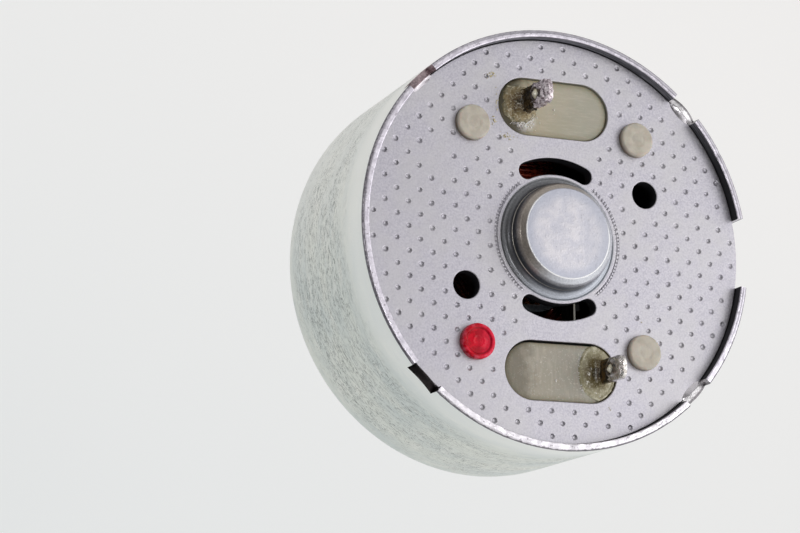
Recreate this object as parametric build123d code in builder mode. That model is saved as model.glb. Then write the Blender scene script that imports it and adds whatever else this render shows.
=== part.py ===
"""Short can-type vibration motor, 24.4 mm across, with an eccentric weight on its shaft.

Frame: origin on the shaft's axis at half the can's length, +Z out of the rear (brush) end,
+X towards the wide notch in the can's rim. All sizes are in millimetres and degrees.
"""
import math
import os

from build123d import *

# ---- driving dimensions -------------------------------------------------------------------
CAN_R = 12.2
CAN_LENGTH = 12.2
CAN_WALL = 0.8
RIM_WALL = 0.42
RIM_HEIGHT = 0.63
PLATE_THICKNESS = 0.8
PAD_DEPTH = 0.25
BOSS_R = 3.05
BOSS_HEIGHT = 1.35
SHAFT_R = 1.0
POLES = 3
ROTOR_R = 8.3
STACK_LENGTH = 3.4
COMMUTATOR_R = 1.65
MAGNET_INNER_R = 8.6
WEIGHT_R = 8.8
WEIGHT_THICKNESS = 4.0
WEIGHT_ANGLE = 165.0
RUNNING_GAP = 0.03

# ---- radii that follow --------------------------------------------------------------------
CAN_INNER_R = CAN_R - CAN_WALL
RIM_INNER_R = CAN_R - RIM_WALL
PLATE_R = RIM_INNER_R - 0.03
BASE_R = CAN_INNER_R - 0.05
REAR_BUSH_R = BOSS_R - 0.55
FRONT_BUSH_R = 2.3
FRONT_BOSS_R = FRONT_BUSH_R + CAN_WALL
BUSH_BORE_R = SHAFT_R + 0.02

# ---- levels along the axis ------------------------------------------------------------------
Z_RIM = CAN_LENGTH / 2
Z_FACE = -CAN_LENGTH / 2
Z_PLATE = Z_RIM - RIM_HEIGHT
Z_PLATE_BACK = Z_PLATE - PLATE_THICKNESS
Z_PAD = Z_PLATE - PAD_DEPTH
Z_BOSS = Z_PLATE + BOSS_HEIGHT
Z_BOSS_ROOF = Z_BOSS - 0.5
Z_BASE_BACK = Z_PLATE_BACK - 1.2
Z_FRONT_BOSS = Z_FACE - 1.2
Z_FRONT_BUSH = Z_FRONT_BOSS + 0.3
Z_FRONT_BUSH_TOP = Z_FACE + CAN_WALL + 0.45
Z_REAR_BUSH = Z_PLATE_BACK - 0.39
Z_REAR_BUSH_TOP = Z_BOSS_ROOF - 0.47
Z_STACK = -3.2
Z_STACK_TOP = Z_STACK + STACK_LENGTH
Z_RISER = 1.85
Z_BARS = 2.08
Z_BARS_TOP = 4.0
Z_BRUSH = 2.45
Z_BRUSH_TOP = 3.95
Z_WEIGHT_TOP = Z_FRONT_BOSS - 0.4
Z_SHAFT_TIP = Z_WEIGHT_TOP - WEIGHT_THICKNESS - 0.7

# ---- places on the end plate ------------------------------------------------------------------
WINDOW_Y = 7.65
WINDOW_LENGTH = 7.0
WINDOW_WIDTH = 3.4
KIDNEY_R = 4.25
KIDNEY_WIDTH = 0.98
KIDNEY_HALF_ANGLE = 25.5
HOLE_R = 0.8
HOLES = [(5.75, 3.08), (-5.75, -3.08)]
STAKES = [(5.23, 6.29), (-5.23, 6.29), (5.23, -6.29)]
POLARITY_STAKE = (-5.23, -6.29)
POST_R = 0.78
STAKE_R = 1.03
STAKE_HEIGHT = 0.4
STAKE_CHAMFER = 0.14

os.makedirs("parts", exist_ok=True)


def save(builder, label):
    """Label one finished sub-part and write its file."""
    builder.part.label = label
    export_step(builder.part, f"parts/{label}.step")


def turn(*profile):
    """Revolve a closed (radius, height) profile round the shaft's axis in the active part."""
    with BuildSketch(Plane.XZ) as section:
        with BuildLine():
            Polyline(*profile, close=True)
        make_face()
    revolve(section.sketch, axis=Axis.Z)


def turn_ring(inner, outer, low, high):
    """Revolve a plain ring with a rectangular section."""
    turn((inner, low), (outer, low), (outer, high), (inner, high))


def rim_circle(edges, radius, height):
    """Pick the circular edge of one radius at one height."""
    circles = edges.filter_by(GeomType.CIRCLE)
    return circles.filter_by(
        lambda edge: abs(edge.radius - radius) < 0.01 and abs(edge.center().Z - height) < 0.01
    )


def arc_sector(inner_r, outer_r, middle, span):
    """Sketch a ring sector centred on one angle."""
    with BuildSketch() as sector:
        with BuildLine():
            inner = CenterArc((0, 0), inner_r, middle - span / 2, span)
            outer = CenterArc((0, 0), outer_r, middle - span / 2, span)
            Line(inner @ 0, outer @ 0)
            Line(inner @ 1, outer @ 1)
        make_face()
    return sector.sketch


def at_level(sketch, level):
    """Lift a flat sketch to one height."""
    return sketch.moved(Location((0, 0, level)))


def wall_plane(radius, angle, height):
    """A plane that faces outward at one angle, with its x along the wall and its y up."""
    outward = Vector(1, 0, 0).rotate(Axis.Z, angle)
    along = Vector(0, 1, 0).rotate(Axis.Z, angle)
    return Plane(origin=outward * radius + Vector(0, 0, height), x_dir=along, z_dir=outward)


# ==== can and end plate ======================================================================

# The can is a drawn cup. Its rim is thinned, with a wide notch for location and four crimp
# notches, where a punch sheared the rim and pushed a lip inward over the end plate.
CAN_CORNER_R = 1.0
FRONT_OPENING_R = 1.5
WIDE_NOTCH = (4.2, 2.0)
CRIMP_ANGLES = (45, 135, 225, 315)
CRIMP_WIDTH = 1.95
CRIMP_EAR_DEPTH = 0.66
CRIMP_MID_DEPTH = 0.46
LIP_HALF_WIDTH = 0.8
LIP_REACH = 0.34

with BuildPart() as can:
    turn(
        (FRONT_OPENING_R, Z_FRONT_BOSS),
        (FRONT_BOSS_R, Z_FRONT_BOSS),
        (FRONT_BOSS_R, Z_FACE),
        (CAN_R, Z_FACE),
        (CAN_R, Z_RIM),
        (RIM_INNER_R, Z_RIM),
        (RIM_INNER_R, Z_PLATE_BACK),
        (CAN_INNER_R, Z_PLATE_BACK),
        (CAN_INNER_R, Z_FACE + CAN_WALL),
        (FRONT_BUSH_R, Z_FACE + CAN_WALL),
        (FRONT_BUSH_R, Z_FRONT_BUSH),
        (FRONT_OPENING_R, Z_FRONT_BUSH),
    )
    fillet(rim_circle(can.edges(), CAN_R, Z_FACE), CAN_CORNER_R)
    fillet(rim_circle(can.edges(), CAN_INNER_R, Z_FACE + CAN_WALL), 0.3)
    fillet(rim_circle(can.edges(), FRONT_BOSS_R, Z_FRONT_BOSS), 0.35)
    fillet(rim_circle(can.edges(), FRONT_BOSS_R, Z_FACE), 0.4)
    with BuildSketch(wall_plane(CAN_R, 0, Z_RIM)):
        with Locations((0, -WIDE_NOTCH[1] / 2)):
            Rectangle(*WIDE_NOTCH)
    extrude(amount=2 * CAN_WALL, both=True, mode=Mode.SUBTRACT)
    for angle in CRIMP_ANGLES:
        half = CRIMP_WIDTH / 2
        with BuildSketch(wall_plane(CAN_R, angle, Z_RIM)):
            with BuildLine():
                Polyline((-half, -CRIMP_EAR_DEPTH), (-half, 0), (half, 0), (half, -CRIMP_EAR_DEPTH))
                ThreePointArc(
                    (half, -CRIMP_EAR_DEPTH), (0, -CRIMP_MID_DEPTH), (-half, -CRIMP_EAR_DEPTH)
                )
            make_face()
        extrude(amount=2 * CAN_WALL, both=True, mode=Mode.SUBTRACT)
    lip_outer = RIM_INNER_R + RIM_WALL / 2
    for angle in CRIMP_ANGLES:
        with BuildSketch(Plane.XY.offset(Z_PLATE).rotated((0, 0, angle))):
            with BuildLine():
                Polyline(
                    (RIM_INNER_R, LIP_HALF_WIDTH),
                    (lip_outer, LIP_HALF_WIDTH),
                    (lip_outer, -LIP_HALF_WIDTH),
                    (RIM_INNER_R, -LIP_HALF_WIDTH),
                )
                ThreePointArc(
                    (RIM_INNER_R, -LIP_HALF_WIDTH),
                    (RIM_INNER_R - LIP_REACH, 0),
                    (RIM_INNER_R, LIP_HALF_WIDTH),
                )
            make_face()
        extrude(amount=RIM_HEIGHT - CRIMP_EAR_DEPTH + 0.14)
save(can, "can")


# The end plate carries the rear bush in a drawn boss. Its face is dimpled on a square grid that
# stands on its corner, with no dimples near an opening, a stake or the boss.
BOSS_TOP_FILLET = 0.45
BOSS_ROOT_FILLET = 0.4
COIN_RING_R = 3.85
DIMPLE_R = 0.14
DIMPLE_DEPTH = 0.06
DIMPLE_PITCH = 1.0
DIMPLE_FIELD = (4.1, 11.45)
BLANK_DIMPLES = {(-10, 7), (-8, 7), (-11, 6), (-10, 5)}


def window_distance(x, y):
    """How far a point lies outside the nearer window."""
    overhang = max(abs(x) - (WINDOW_LENGTH - WINDOW_WIDTH) / 2, 0)
    return math.hypot(overhang, abs(y) - WINDOW_Y) - WINDOW_WIDTH / 2


def kidney_distance(x, y):
    """How far a point lies outside the nearer kidney slot."""
    angle = math.degrees(math.atan2(abs(x), abs(y)))
    end_angle = math.radians(min(angle, KIDNEY_HALF_ANGLE))
    middle = (KIDNEY_R * math.sin(end_angle), KIDNEY_R * math.cos(end_angle))
    return math.dist((abs(x), abs(y)), middle) - KIDNEY_WIDTH / 2


def is_dimpled(x, y):
    """Whether the punch leaves a dimple here."""
    beside_slots = abs(x) < 2.5 and abs(y) < WINDOW_Y - WINDOW_WIDTH / 2
    stake_gap = min(math.dist((x, y), stake) for stake in [*STAKES, POLARITY_STAKE]) - STAKE_R
    hole_gap = min(math.dist((x, y), hole) for hole in HOLES) - HOLE_R
    return (
        DIMPLE_FIELD[0] < math.hypot(x, y) < DIMPLE_FIELD[1]
        and not (beside_slots and abs(y) > abs(x))
        and window_distance(x, y) > 0.45
        and kidney_distance(x, y) > 0.35
        and stake_gap > 0.25
        and hole_gap > 0.3
    )


half_step = DIMPLE_PITCH / math.sqrt(2)
dimples = [
    (column * half_step, row * half_step)
    for column in range(-17, 18)
    for row in range(-17, 18)
    if (column + row) % 2
    and (column, row) not in BLANK_DIMPLES
    and is_dimpled(column * half_step, row * half_step)
]

with BuildPart() as end_plate:
    turn(
        (0, Z_BOSS_ROOF),
        (REAR_BUSH_R, Z_BOSS_ROOF),
        (REAR_BUSH_R, Z_PLATE_BACK),
        (PLATE_R, Z_PLATE_BACK),
        (PLATE_R, Z_PLATE),
        (COIN_RING_R + 0.08, Z_PLATE),
        (COIN_RING_R, Z_PLATE - 0.06),
        (COIN_RING_R - 0.08, Z_PLATE),
        (BOSS_R, Z_PLATE),
        (BOSS_R, Z_BOSS),
        (0, Z_BOSS),
    )
    fillet(rim_circle(end_plate.edges(), BOSS_R, Z_BOSS), BOSS_TOP_FILLET)
    fillet(rim_circle(end_plate.edges(), BOSS_R, Z_PLATE), BOSS_ROOT_FILLET)
    chamfer(rim_circle(end_plate.edges(), PLATE_R, Z_PLATE), 0.06)
    with BuildSketch(Plane.XY.offset(Z_PLATE)):
        with Locations((0, WINDOW_Y), (0, -WINDOW_Y)):
            SlotOverall(WINDOW_LENGTH, WINDOW_WIDTH)
        for middle in (90, 270):
            SlotArc(
                CenterArc((0, 0), KIDNEY_R, middle - KIDNEY_HALF_ANGLE, 2 * KIDNEY_HALF_ANGLE),
                KIDNEY_WIDTH,
            )
        with Locations(*HOLES):
            Circle(HOLE_R)
        with Locations(*STAKES, POLARITY_STAKE):
            Circle(POST_R + 0.02)
    extrude(amount=-PLATE_THICKNESS, mode=Mode.SUBTRACT)
    with BuildSketch(Plane.XY.offset(Z_PLATE)):
        with Locations(*dimples):
            Circle(DIMPLE_R)
    extrude(amount=-DIMPLE_DEPTH, taper=40, mode=Mode.SUBTRACT)
save(end_plate, "end_plate")

# ==== bearings ===============================================================================

with BuildPart() as rear_bearing:
    turn_ring(BUSH_BORE_R, REAR_BUSH_R, Z_REAR_BUSH, Z_REAR_BUSH_TOP)
    chamfer(rim_circle(rear_bearing.edges(), REAR_BUSH_R, Z_REAR_BUSH), 0.15)
    chamfer(rim_circle(rear_bearing.edges(), BUSH_BORE_R, Z_REAR_BUSH), 0.1)
save(rear_bearing, "rear_bearing")

with BuildPart() as front_bearing:
    turn_ring(BUSH_BORE_R, FRONT_BUSH_R, Z_FRONT_BUSH, Z_FRONT_BUSH_TOP)
    chamfer(rim_circle(front_bearing.edges(), FRONT_BUSH_R, Z_FRONT_BUSH_TOP), 0.15)
    chamfer(rim_circle(front_bearing.edges(), BUSH_BORE_R, Z_FRONT_BUSH_TOP), 0.1)
save(front_bearing, "front_bearing")

with BuildPart() as thrust_pad:
    turn((0, Z_REAR_BUSH_TOP), (2.2, Z_REAR_BUSH_TOP), (2.2, Z_BOSS_ROOF), (0, Z_BOSS_ROOF))
save(thrust_pad, "thrust_pad")

# ==== magnets and their clips ================================================================

MAGNET_OUTER_R = CAN_INNER_R - 0.02
MAGNET_SPAN = 118.0
Z_MAGNET = -4.5
Z_MAGNET_TOP = 1.5
CLIP_THICKNESS = 0.35
CLIP_WIDTH = 4.0

for label, middle in (("magnet_right", 0), ("magnet_left", 180)):
    magnet_outline = arc_sector(MAGNET_INNER_R, MAGNET_OUTER_R, middle, MAGNET_SPAN)
    with BuildPart() as magnet:
        extrude(at_level(magnet_outline, Z_MAGNET), Z_MAGNET_TOP - Z_MAGNET)
        chamfer(magnet.faces().sort_by(Axis.Z)[-1].edges(), 0.2)
    save(magnet, label)

# Each clip is a strip that springs between the two magnets, with a leg against each of them.
clip_half_span = 90 - MAGNET_SPAN / 2
leg_offset = math.degrees((CLIP_THICKNESS / 2 + 0.02) / 10.2)
for label, middle in (("magnet_spring_top", 90), ("magnet_spring_bottom", 270)):
    with BuildPart() as magnet_spring:
        with BuildSketch(Plane.XY.offset((Z_MAGNET + Z_MAGNET_TOP - CLIP_WIDTH) / 2)):
            for side in (-1, 1):
                leg_angle = middle + side * (clip_half_span - leg_offset)
                with PolarLocations(10.2, 1, start_angle=leg_angle):
                    Rectangle(1.8, CLIP_THICKNESS)
            SlotArc(
                CenterArc(
                    (0, 0),
                    CAN_INNER_R - 0.04 - CLIP_THICKNESS / 2,
                    middle - clip_half_span + 2 * leg_offset,
                    2 * (clip_half_span - 2 * leg_offset),
                ),
                CLIP_THICKNESS,
            )
        extrude(amount=CLIP_WIDTH)
    save(magnet_spring, label)

# ==== brush gear =============================================================================

# Each side: where the terminal stands, and how far its tab leans per millimetre of height.
TERMINAL_PLACES = {
    "positive": {"at": (2.36, -7.60), "lean": (0.10, 0.0)},
    "negative": {"at": (-2.08, 7.80), "lean": (0.24, 0.08)},
}
TAB_WIDTH = 1.3
TAB_THICKNESS = 0.3
TAB_HEIGHT = 2.6
EYE_HEIGHT = 1.5
EYE = (0.7, 0.58)
BASE_OPENING_R = 5.2
LEAF_THICKNESS = 0.1

# The base is one nylon moulding. Its pads fill the windows, and its posts pass through the plate
# and are formed over into heads.
with BuildPart() as brush_base:
    with BuildSketch(Plane.XY.offset(Z_BASE_BACK)):
        Circle(BASE_R)
        Circle(BASE_OPENING_R, mode=Mode.SUBTRACT)
        with Locations(*HOLES):
            Circle(HOLE_R + 0.25, mode=Mode.SUBTRACT)
    extrude(amount=Z_PLATE_BACK - Z_BASE_BACK)
    with BuildSketch(Plane.XY.offset(Z_BASE_BACK)):
        with Locations((0, WINDOW_Y), (0, -WINDOW_Y)):
            SlotOverall(WINDOW_LENGTH - 0.06, WINDOW_WIDTH - 0.06)
    extrude(amount=Z_PAD - Z_BASE_BACK)
    with BuildSketch(Plane.XY.offset(Z_BASE_BACK)):
        with Locations(*STAKES, POLARITY_STAKE):
            Circle(POST_R)
    extrude(amount=Z_PLATE - Z_BASE_BACK)
    with BuildSketch(Plane.XY.offset(Z_PLATE)):
        with Locations(*STAKES, POLARITY_STAKE):
            Circle(STAKE_R)
    extrude(amount=STAKE_HEIGHT)
    stake_tops = brush_base.faces().sort_by(Axis.Z)[-4:]
    chamfer(stake_tops.edges(), STAKE_CHAMFER)
    with BuildSketch(Plane.XY.offset(Z_PLATE + STAKE_HEIGHT)):
        with Locations(*STAKES):
            Circle(0.4)
    extrude(amount=-0.05, taper=30, mode=Mode.SUBTRACT)
    for place in TERMINAL_PLACES.values():
        x, y = place["at"]
        with BuildSketch(Plane.XY.offset(Z_BASE_BACK)):
            with Locations((x, y)):
                Rectangle(TAB_THICKNESS + 0.04, TAB_WIDTH + 0.04)
        extrude(amount=Z_PAD - Z_BASE_BACK, mode=Mode.SUBTRACT)
        with BuildSketch(Plane.XY.offset(Z_BASE_BACK)):
            with Locations((x * 0.9, y * 0.83)):
                Rectangle(1.5, 4.4)
        extrude(amount=Z_BRUSH_TOP + 0.15 - Z_BASE_BACK, mode=Mode.SUBTRACT)
save(brush_base, "brush_base")

# A coat of red lacquer over one stake head marks the positive side.
LACQUER = 0.05
with BuildPart() as polarity_mark:
    with BuildSketch(Plane.XY.offset(Z_PLATE)):
        with Locations(POLARITY_STAKE):
            Circle(STAKE_R + LACQUER)
    extrude(amount=STAKE_HEIGHT + LACQUER)
    chamfer(polarity_mark.faces().sort_by(Axis.Z)[-1].edges(), STAKE_CHAMFER + 0.4 * LACQUER)
    with BuildSketch(Plane.XY.offset(Z_PLATE)):
        with Locations(POLARITY_STAKE):
            Circle(STAKE_R)
    extrude(amount=STAKE_HEIGHT - STAKE_CHAMFER, mode=Mode.SUBTRACT)
    with BuildSketch(Plane.XY.offset(Z_PLATE + STAKE_HEIGHT - STAKE_CHAMFER)):
        with Locations(POLARITY_STAKE):
            Circle(STAKE_R)
    extrude(amount=STAKE_CHAMFER, taper=45, mode=Mode.SUBTRACT)
save(polarity_mark, "polarity_mark")


def tab_plane(place):
    """The leaning mid-plane of one solder tab: x along +Y, y up the tab."""
    x, y = place["at"]
    lean_x, lean_y = place["lean"]
    up = Vector(lean_x, lean_y, 1).normalized()
    normal = Vector(0, 1, 0).cross(up).normalized()
    return Plane(origin=(x, y, Z_PAD), x_dir=up.cross(normal), z_dir=normal)


for polarity, place in TERMINAL_PLACES.items():
    with BuildPart() as terminal:
        with BuildSketch(Plane.XY.offset(Z_BRUSH)):
            with Locations(place["at"]):
                Rectangle(TAB_THICKNESS, TAB_WIDTH)
        extrude(amount=Z_PAD - Z_BRUSH)
        tab_top = PAD_DEPTH + TAB_HEIGHT
        with BuildSketch(tab_plane(place)) as tab:
            with Locations((0, (tab_top - 0.1) / 2)):
                Rectangle(TAB_WIDTH, tab_top + 0.1)
            fillet(tab.vertices().sort_by(Axis.Y)[-2:], 0.45)
            with Locations((0, PAD_DEPTH + EYE_HEIGHT)):
                SlotOverall(*EYE, mode=Mode.SUBTRACT)
        extrude(amount=TAB_THICKNESS / 2, both=True)
    save(terminal, f"terminal_{polarity}")
    with BuildPart() as solder:
        with BuildSketch(tab_plane(place)):
            with Locations((0, PAD_DEPTH + EYE_HEIGHT)):
                SlotOverall(*EYE)
        extrude(amount=TAB_THICKNESS / 2 + 0.08, both=True)
        chamfer(solder.edges().filter_by(Plane.XY, reverse=True).filter_by(GeomType.CIRCLE), 0.05)
    save(solder, f"solder_{polarity}")

# Each brush is a leaf of spring metal on edge: its root lies against the terminal's leg, it steps
# in towards the commutator, and its free end is split into two fingers with turned-out tips.
LEAF_INNER_X = COMMUTATOR_R + RUNNING_GAP
DAMPER = (0.4, 1.4, 1.1)

for polarity, label in (("positive", "right"), ("negative", "left")):
    x, y = TERMINAL_PLACES[polarity]["at"]
    side = math.copysign(1, x)
    root_x = abs(x) - TAB_THICKNESS / 2 - LEAF_THICKNESS
    route = [
        (root_x, -abs(y) - 0.5),
        (root_x, -abs(y) + 0.8),
        (LEAF_INNER_X, -5.6),
        (LEAF_INNER_X, 0.9),
        (LEAF_INNER_X + 0.2, 1.35),
    ]
    outline = route + [(px + LEAF_THICKNESS, py) for px, py in reversed(route)]
    with BuildPart() as brush:
        with BuildSketch(Plane.XY.offset(Z_BRUSH)):
            with BuildLine():
                Polyline(*[(side * px, side * py) for px, py in outline], close=True)
            make_face()
        extrude(amount=Z_BRUSH_TOP - Z_BRUSH)
        with BuildSketch(Plane.YZ):
            with Locations((side * -1.2, (Z_BRUSH + Z_BRUSH_TOP) / 2)):
                Rectangle(5.4, 0.12)
        extrude(amount=side * 3, mode=Mode.SUBTRACT)
    save(brush, f"brush_{label}")
    with BuildPart() as damper:
        with BuildSketch(Plane.XY.offset((Z_BRUSH + Z_BRUSH_TOP - DAMPER[2]) / 2)):
            with Locations((side * (LEAF_INNER_X + LEAF_THICKNESS + DAMPER[0] / 2), side * -3.0)):
                RectangleRounded(DAMPER[0], DAMPER[1], 0.1)
        extrude(amount=DAMPER[2])
    save(damper, f"brush_damper_{label}")

# ==== rotor ==================================================================================

with BuildPart() as shaft:
    shaft_top = Z_REAR_BUSH_TOP - RUNNING_GAP
    turn((0, Z_SHAFT_TIP), (SHAFT_R, Z_SHAFT_TIP), (SHAFT_R, shaft_top), (0, shaft_top))
    chamfer(shaft.edges().filter_by(GeomType.CIRCLE), 0.15)
save(shaft, "shaft")

ROTOR_PHASE = 90.0
SHEETS = 7
SHEET_THICKNESS = 0.47
SHOE_THICKNESS = 1.0
SLOT_OPENING = 1.6
TOOTH_WIDTH = 2.8
CORE_R = 2.4
INSULATION = 0.35
WINDING_R = (2.9, 6.6)
WINDING_WIDTH = 5.1
WINDING_BUILD = 0.85


def core_outline(outer_r, shoe_inner_r, tooth_width, core_r):
    """Sketch one three-pole punching; poles point at ROTOR_PHASE and every third of a turn."""
    with BuildSketch() as outline:
        Circle(outer_r)
        Circle(shoe_inner_r, mode=Mode.SUBTRACT)
        with PolarLocations(outer_r, POLES, start_angle=ROTOR_PHASE + 180 / POLES):
            Rectangle(4, SLOT_OPENING, mode=Mode.SUBTRACT)
        Circle(core_r)
        with PolarLocations(shoe_inner_r / 2 + 0.1, POLES, start_angle=ROTOR_PHASE):
            Rectangle(shoe_inner_r, tooth_width)
        Circle(SHAFT_R, mode=Mode.SUBTRACT)
    return outline.sketch


shoe_inner_r = ROTOR_R - SHOE_THICKNESS
punching = core_outline(ROTOR_R, shoe_inner_r, TOOTH_WIDTH, CORE_R)
sheet_pitch = (STACK_LENGTH - SHEET_THICKNESS) / (SHEETS - 1)
with BuildPart() as laminations:
    for sheet in range(SHEETS):
        extrude(at_level(punching, Z_STACK + sheet * sheet_pitch), SHEET_THICKNESS)
save(laminations, "laminations")

insulator_outline = core_outline(ROTOR_R - 0.3, shoe_inner_r, TOOTH_WIDTH + 0.3, CORE_R + 0.2)
collar = {"front": (-1, Z_STACK, 1.1), "rear": (1, Z_STACK_TOP, 0.9)}
for label, (direction, level, length) in collar.items():
    with BuildPart() as insulator:
        extrude(at_level(insulator_outline, level), direction * INSULATION)
        with BuildSketch(Plane.XY.offset(level)):
            Circle(2.2)
            Circle(SHAFT_R, mode=Mode.SUBTRACT)
        extrude(amount=direction * length)
    save(insulator, f"insulator_{label}")

winding_opening = STACK_LENGTH + 2 * INSULATION
for pole in range(POLES):
    pole_angle = ROTOR_PHASE + pole * 360 / POLES
    with BuildPart() as winding:
        with BuildSketch(wall_plane(WINDING_R[0], pole_angle, Z_STACK + STACK_LENGTH / 2)):
            RectangleRounded(WINDING_WIDTH, winding_opening + 2 * WINDING_BUILD, 0.9)
            Rectangle(TOOTH_WIDTH + 0.3, winding_opening, mode=Mode.SUBTRACT)
        extrude(amount=WINDING_R[1] - WINDING_R[0])
    save(winding, f"winding_{pole + 1}")

# The commutator: a plastic hub with three copper bars, each with a riser arm under it that its
# coil is soldered to, a ring varistor below the arms and a collar that holds the bars down.
HUB_R = 1.35
Z_HUB = 1.45
Z_HUB_TOP = 4.15
BAR_GAP = 0.28
RISER_LENGTH = 3.1
RISER_WIDTH = 1.0
VARISTOR_R = 3.5

with BuildPart() as commutator_hub:
    turn(
        (SHAFT_R, Z_STACK_TOP + 0.9),
        (1.7, Z_STACK_TOP + 0.9),
        (1.7, Z_RISER),
        (HUB_R, Z_RISER),
        (HUB_R, Z_HUB_TOP),
        (SHAFT_R, Z_HUB_TOP),
    )
save(commutator_hub, "commutator_hub")

bar_span = 360 / POLES - math.degrees(BAR_GAP / COMMUTATOR_R)
for bar in range(POLES):
    bar_angle = ROTOR_PHASE + (bar + 0.5) * 360 / POLES
    with BuildPart() as segment:
        bar_outline = arc_sector(HUB_R, COMMUTATOR_R, bar_angle, bar_span)
        extrude(at_level(bar_outline, Z_RISER), Z_BARS_TOP - Z_RISER)
        with BuildSketch(Plane.XY.offset(Z_RISER)):
            with PolarLocations((HUB_R + RISER_LENGTH) / 2, 1, start_angle=bar_angle):
                Rectangle(RISER_LENGTH - HUB_R, RISER_WIDTH)
            Circle(HUB_R, mode=Mode.SUBTRACT)
        extrude(amount=Z_BARS - Z_RISER)
    save(segment, f"commutator_segment_{bar + 1}")

with BuildPart() as commutator_collar:
    turn_ring(HUB_R, COMMUTATOR_R - 0.02, Z_BARS_TOP, Z_HUB_TOP)
save(commutator_collar, "commutator_collar")

with BuildPart() as varistor:
    turn_ring(1.7, VARISTOR_R, Z_HUB, Z_RISER)
save(varistor, "varistor")

with BuildPart() as riser_solder:
    with BuildSketch(Plane.XY.offset(Z_BARS)):
        with PolarLocations(RISER_LENGTH - 0.4, POLES, start_angle=ROTOR_PHASE + 180 / POLES):
            Circle(0.36)
    extrude(amount=0.16, taper=35)
save(riser_solder, "riser_solder")

# Washers take up the end play between the rotor and the two bushes.
Z_FRONT_COLLAR = Z_STACK - 1.1
Z_WASHER = Z_FRONT_BUSH_TOP + RUNNING_GAP
WASHER = 0.12
with BuildPart() as washer_front:
    turn_ring(SHAFT_R + 0.01, 1.9, Z_WASHER, Z_WASHER + WASHER)
save(washer_front, "washer_front")

with BuildPart() as spacer_front:
    turn_ring(SHAFT_R, 1.7, Z_WASHER + WASHER, Z_FRONT_COLLAR)
save(spacer_front, "spacer_front")

with BuildPart() as washer_rear:
    turn_ring(SHAFT_R + 0.01, 1.9, Z_HUB_TOP, Z_REAR_BUSH - RUNNING_GAP)
save(washer_rear, "washer_rear")

# The weight is a thick sector with a hub, pressed on the shaft so that it overhangs one side.
WEIGHT_HUB_R = 2.8
with BuildPart() as eccentric_weight:
    with BuildSketch(Plane.XY.offset(Z_WEIGHT_TOP)) as weight_outline:
        with BuildLine():
            rim_arc = CenterArc((0, 0), WEIGHT_R, -WEIGHT_ANGLE / 2, WEIGHT_ANGLE)
            Polyline(rim_arc @ 1, (0, 0), rim_arc @ 0)
        make_face()
        Circle(WEIGHT_HUB_R)
        fillet(weight_outline.vertices().group_by(SortBy.DISTANCE)[-1], 0.5)
        Circle(SHAFT_R, mode=Mode.SUBTRACT)
    extrude(amount=-WEIGHT_THICKNESS)
    chamfer(rim_circle(eccentric_weight.edges(), WEIGHT_R, Z_WEIGHT_TOP), 0.2)
    chamfer(rim_circle(eccentric_weight.edges(), WEIGHT_R, Z_WEIGHT_TOP - WEIGHT_THICKNESS), 0.2)
save(eccentric_weight, "eccentric_weight")
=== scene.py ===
"""Looks of the can-type vibration motor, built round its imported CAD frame.

Shapes are worked out in millimetres in the frame's own axes (+Z out of the brush end, +X towards
the wide notch in the rim) and scaled to metres as each piece is made.
"""
import math
import random

import bmesh
import bpy
from mathutils import Euler, Matrix, Vector, noise
from mathutils.geometry import delaunay_2d_cdt


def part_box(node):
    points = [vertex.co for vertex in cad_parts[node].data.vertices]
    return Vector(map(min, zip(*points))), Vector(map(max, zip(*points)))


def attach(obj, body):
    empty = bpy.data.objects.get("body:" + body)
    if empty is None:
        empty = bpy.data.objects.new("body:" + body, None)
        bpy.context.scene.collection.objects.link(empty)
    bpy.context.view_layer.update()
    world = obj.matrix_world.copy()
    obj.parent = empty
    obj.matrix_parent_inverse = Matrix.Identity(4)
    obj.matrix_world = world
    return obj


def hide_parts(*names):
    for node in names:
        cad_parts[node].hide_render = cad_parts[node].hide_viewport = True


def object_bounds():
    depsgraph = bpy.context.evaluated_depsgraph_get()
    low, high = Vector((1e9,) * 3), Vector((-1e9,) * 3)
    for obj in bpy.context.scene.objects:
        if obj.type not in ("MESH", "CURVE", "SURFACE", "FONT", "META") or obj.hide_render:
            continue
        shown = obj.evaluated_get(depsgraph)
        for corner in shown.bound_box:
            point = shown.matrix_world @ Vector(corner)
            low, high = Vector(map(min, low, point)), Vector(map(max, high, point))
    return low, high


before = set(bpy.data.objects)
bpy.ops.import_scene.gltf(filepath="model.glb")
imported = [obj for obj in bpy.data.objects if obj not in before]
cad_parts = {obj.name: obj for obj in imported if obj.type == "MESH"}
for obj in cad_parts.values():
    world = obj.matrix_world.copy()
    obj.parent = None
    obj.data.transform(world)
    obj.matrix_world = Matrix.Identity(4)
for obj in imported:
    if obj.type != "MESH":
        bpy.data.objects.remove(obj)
cad_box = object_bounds()

MM = 0.001
SEGMENTS = 160
WELD = 1e-4


def span(node):
    """Lowest and highest corner of a CAD node, in millimetres."""
    low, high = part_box(node)
    return low / MM, high / MM


# ---- sizes read from the frame ----------------------------------------------------------------
can_low, can_high = span("can")
plate_low, plate_high = span("end_plate")
mark_low, mark_high = span("polarity_mark")
CAN_R = can_high.x
Z_RIM = can_high.z
Z_FRONT_BOSS = can_low.z
Z_FACE = -Z_RIM
Z_PLATE = mark_low.z
Z_PLATE_BACK = plate_low.z
Z_BOSS = plate_high.z
PLATE_R = plate_high.x
BOX_TOP = cad_box[1].z / MM
LACQUER = 0.05
STAKE_R = (mark_high.x - mark_low.x) / 2 - LACQUER
STAKE_HEIGHT = mark_high.z - mark_low.z - LACQUER
POLARITY_STAKE = ((mark_low.x + mark_high.x) / 2, (mark_low.y + mark_high.y) / 2)

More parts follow.
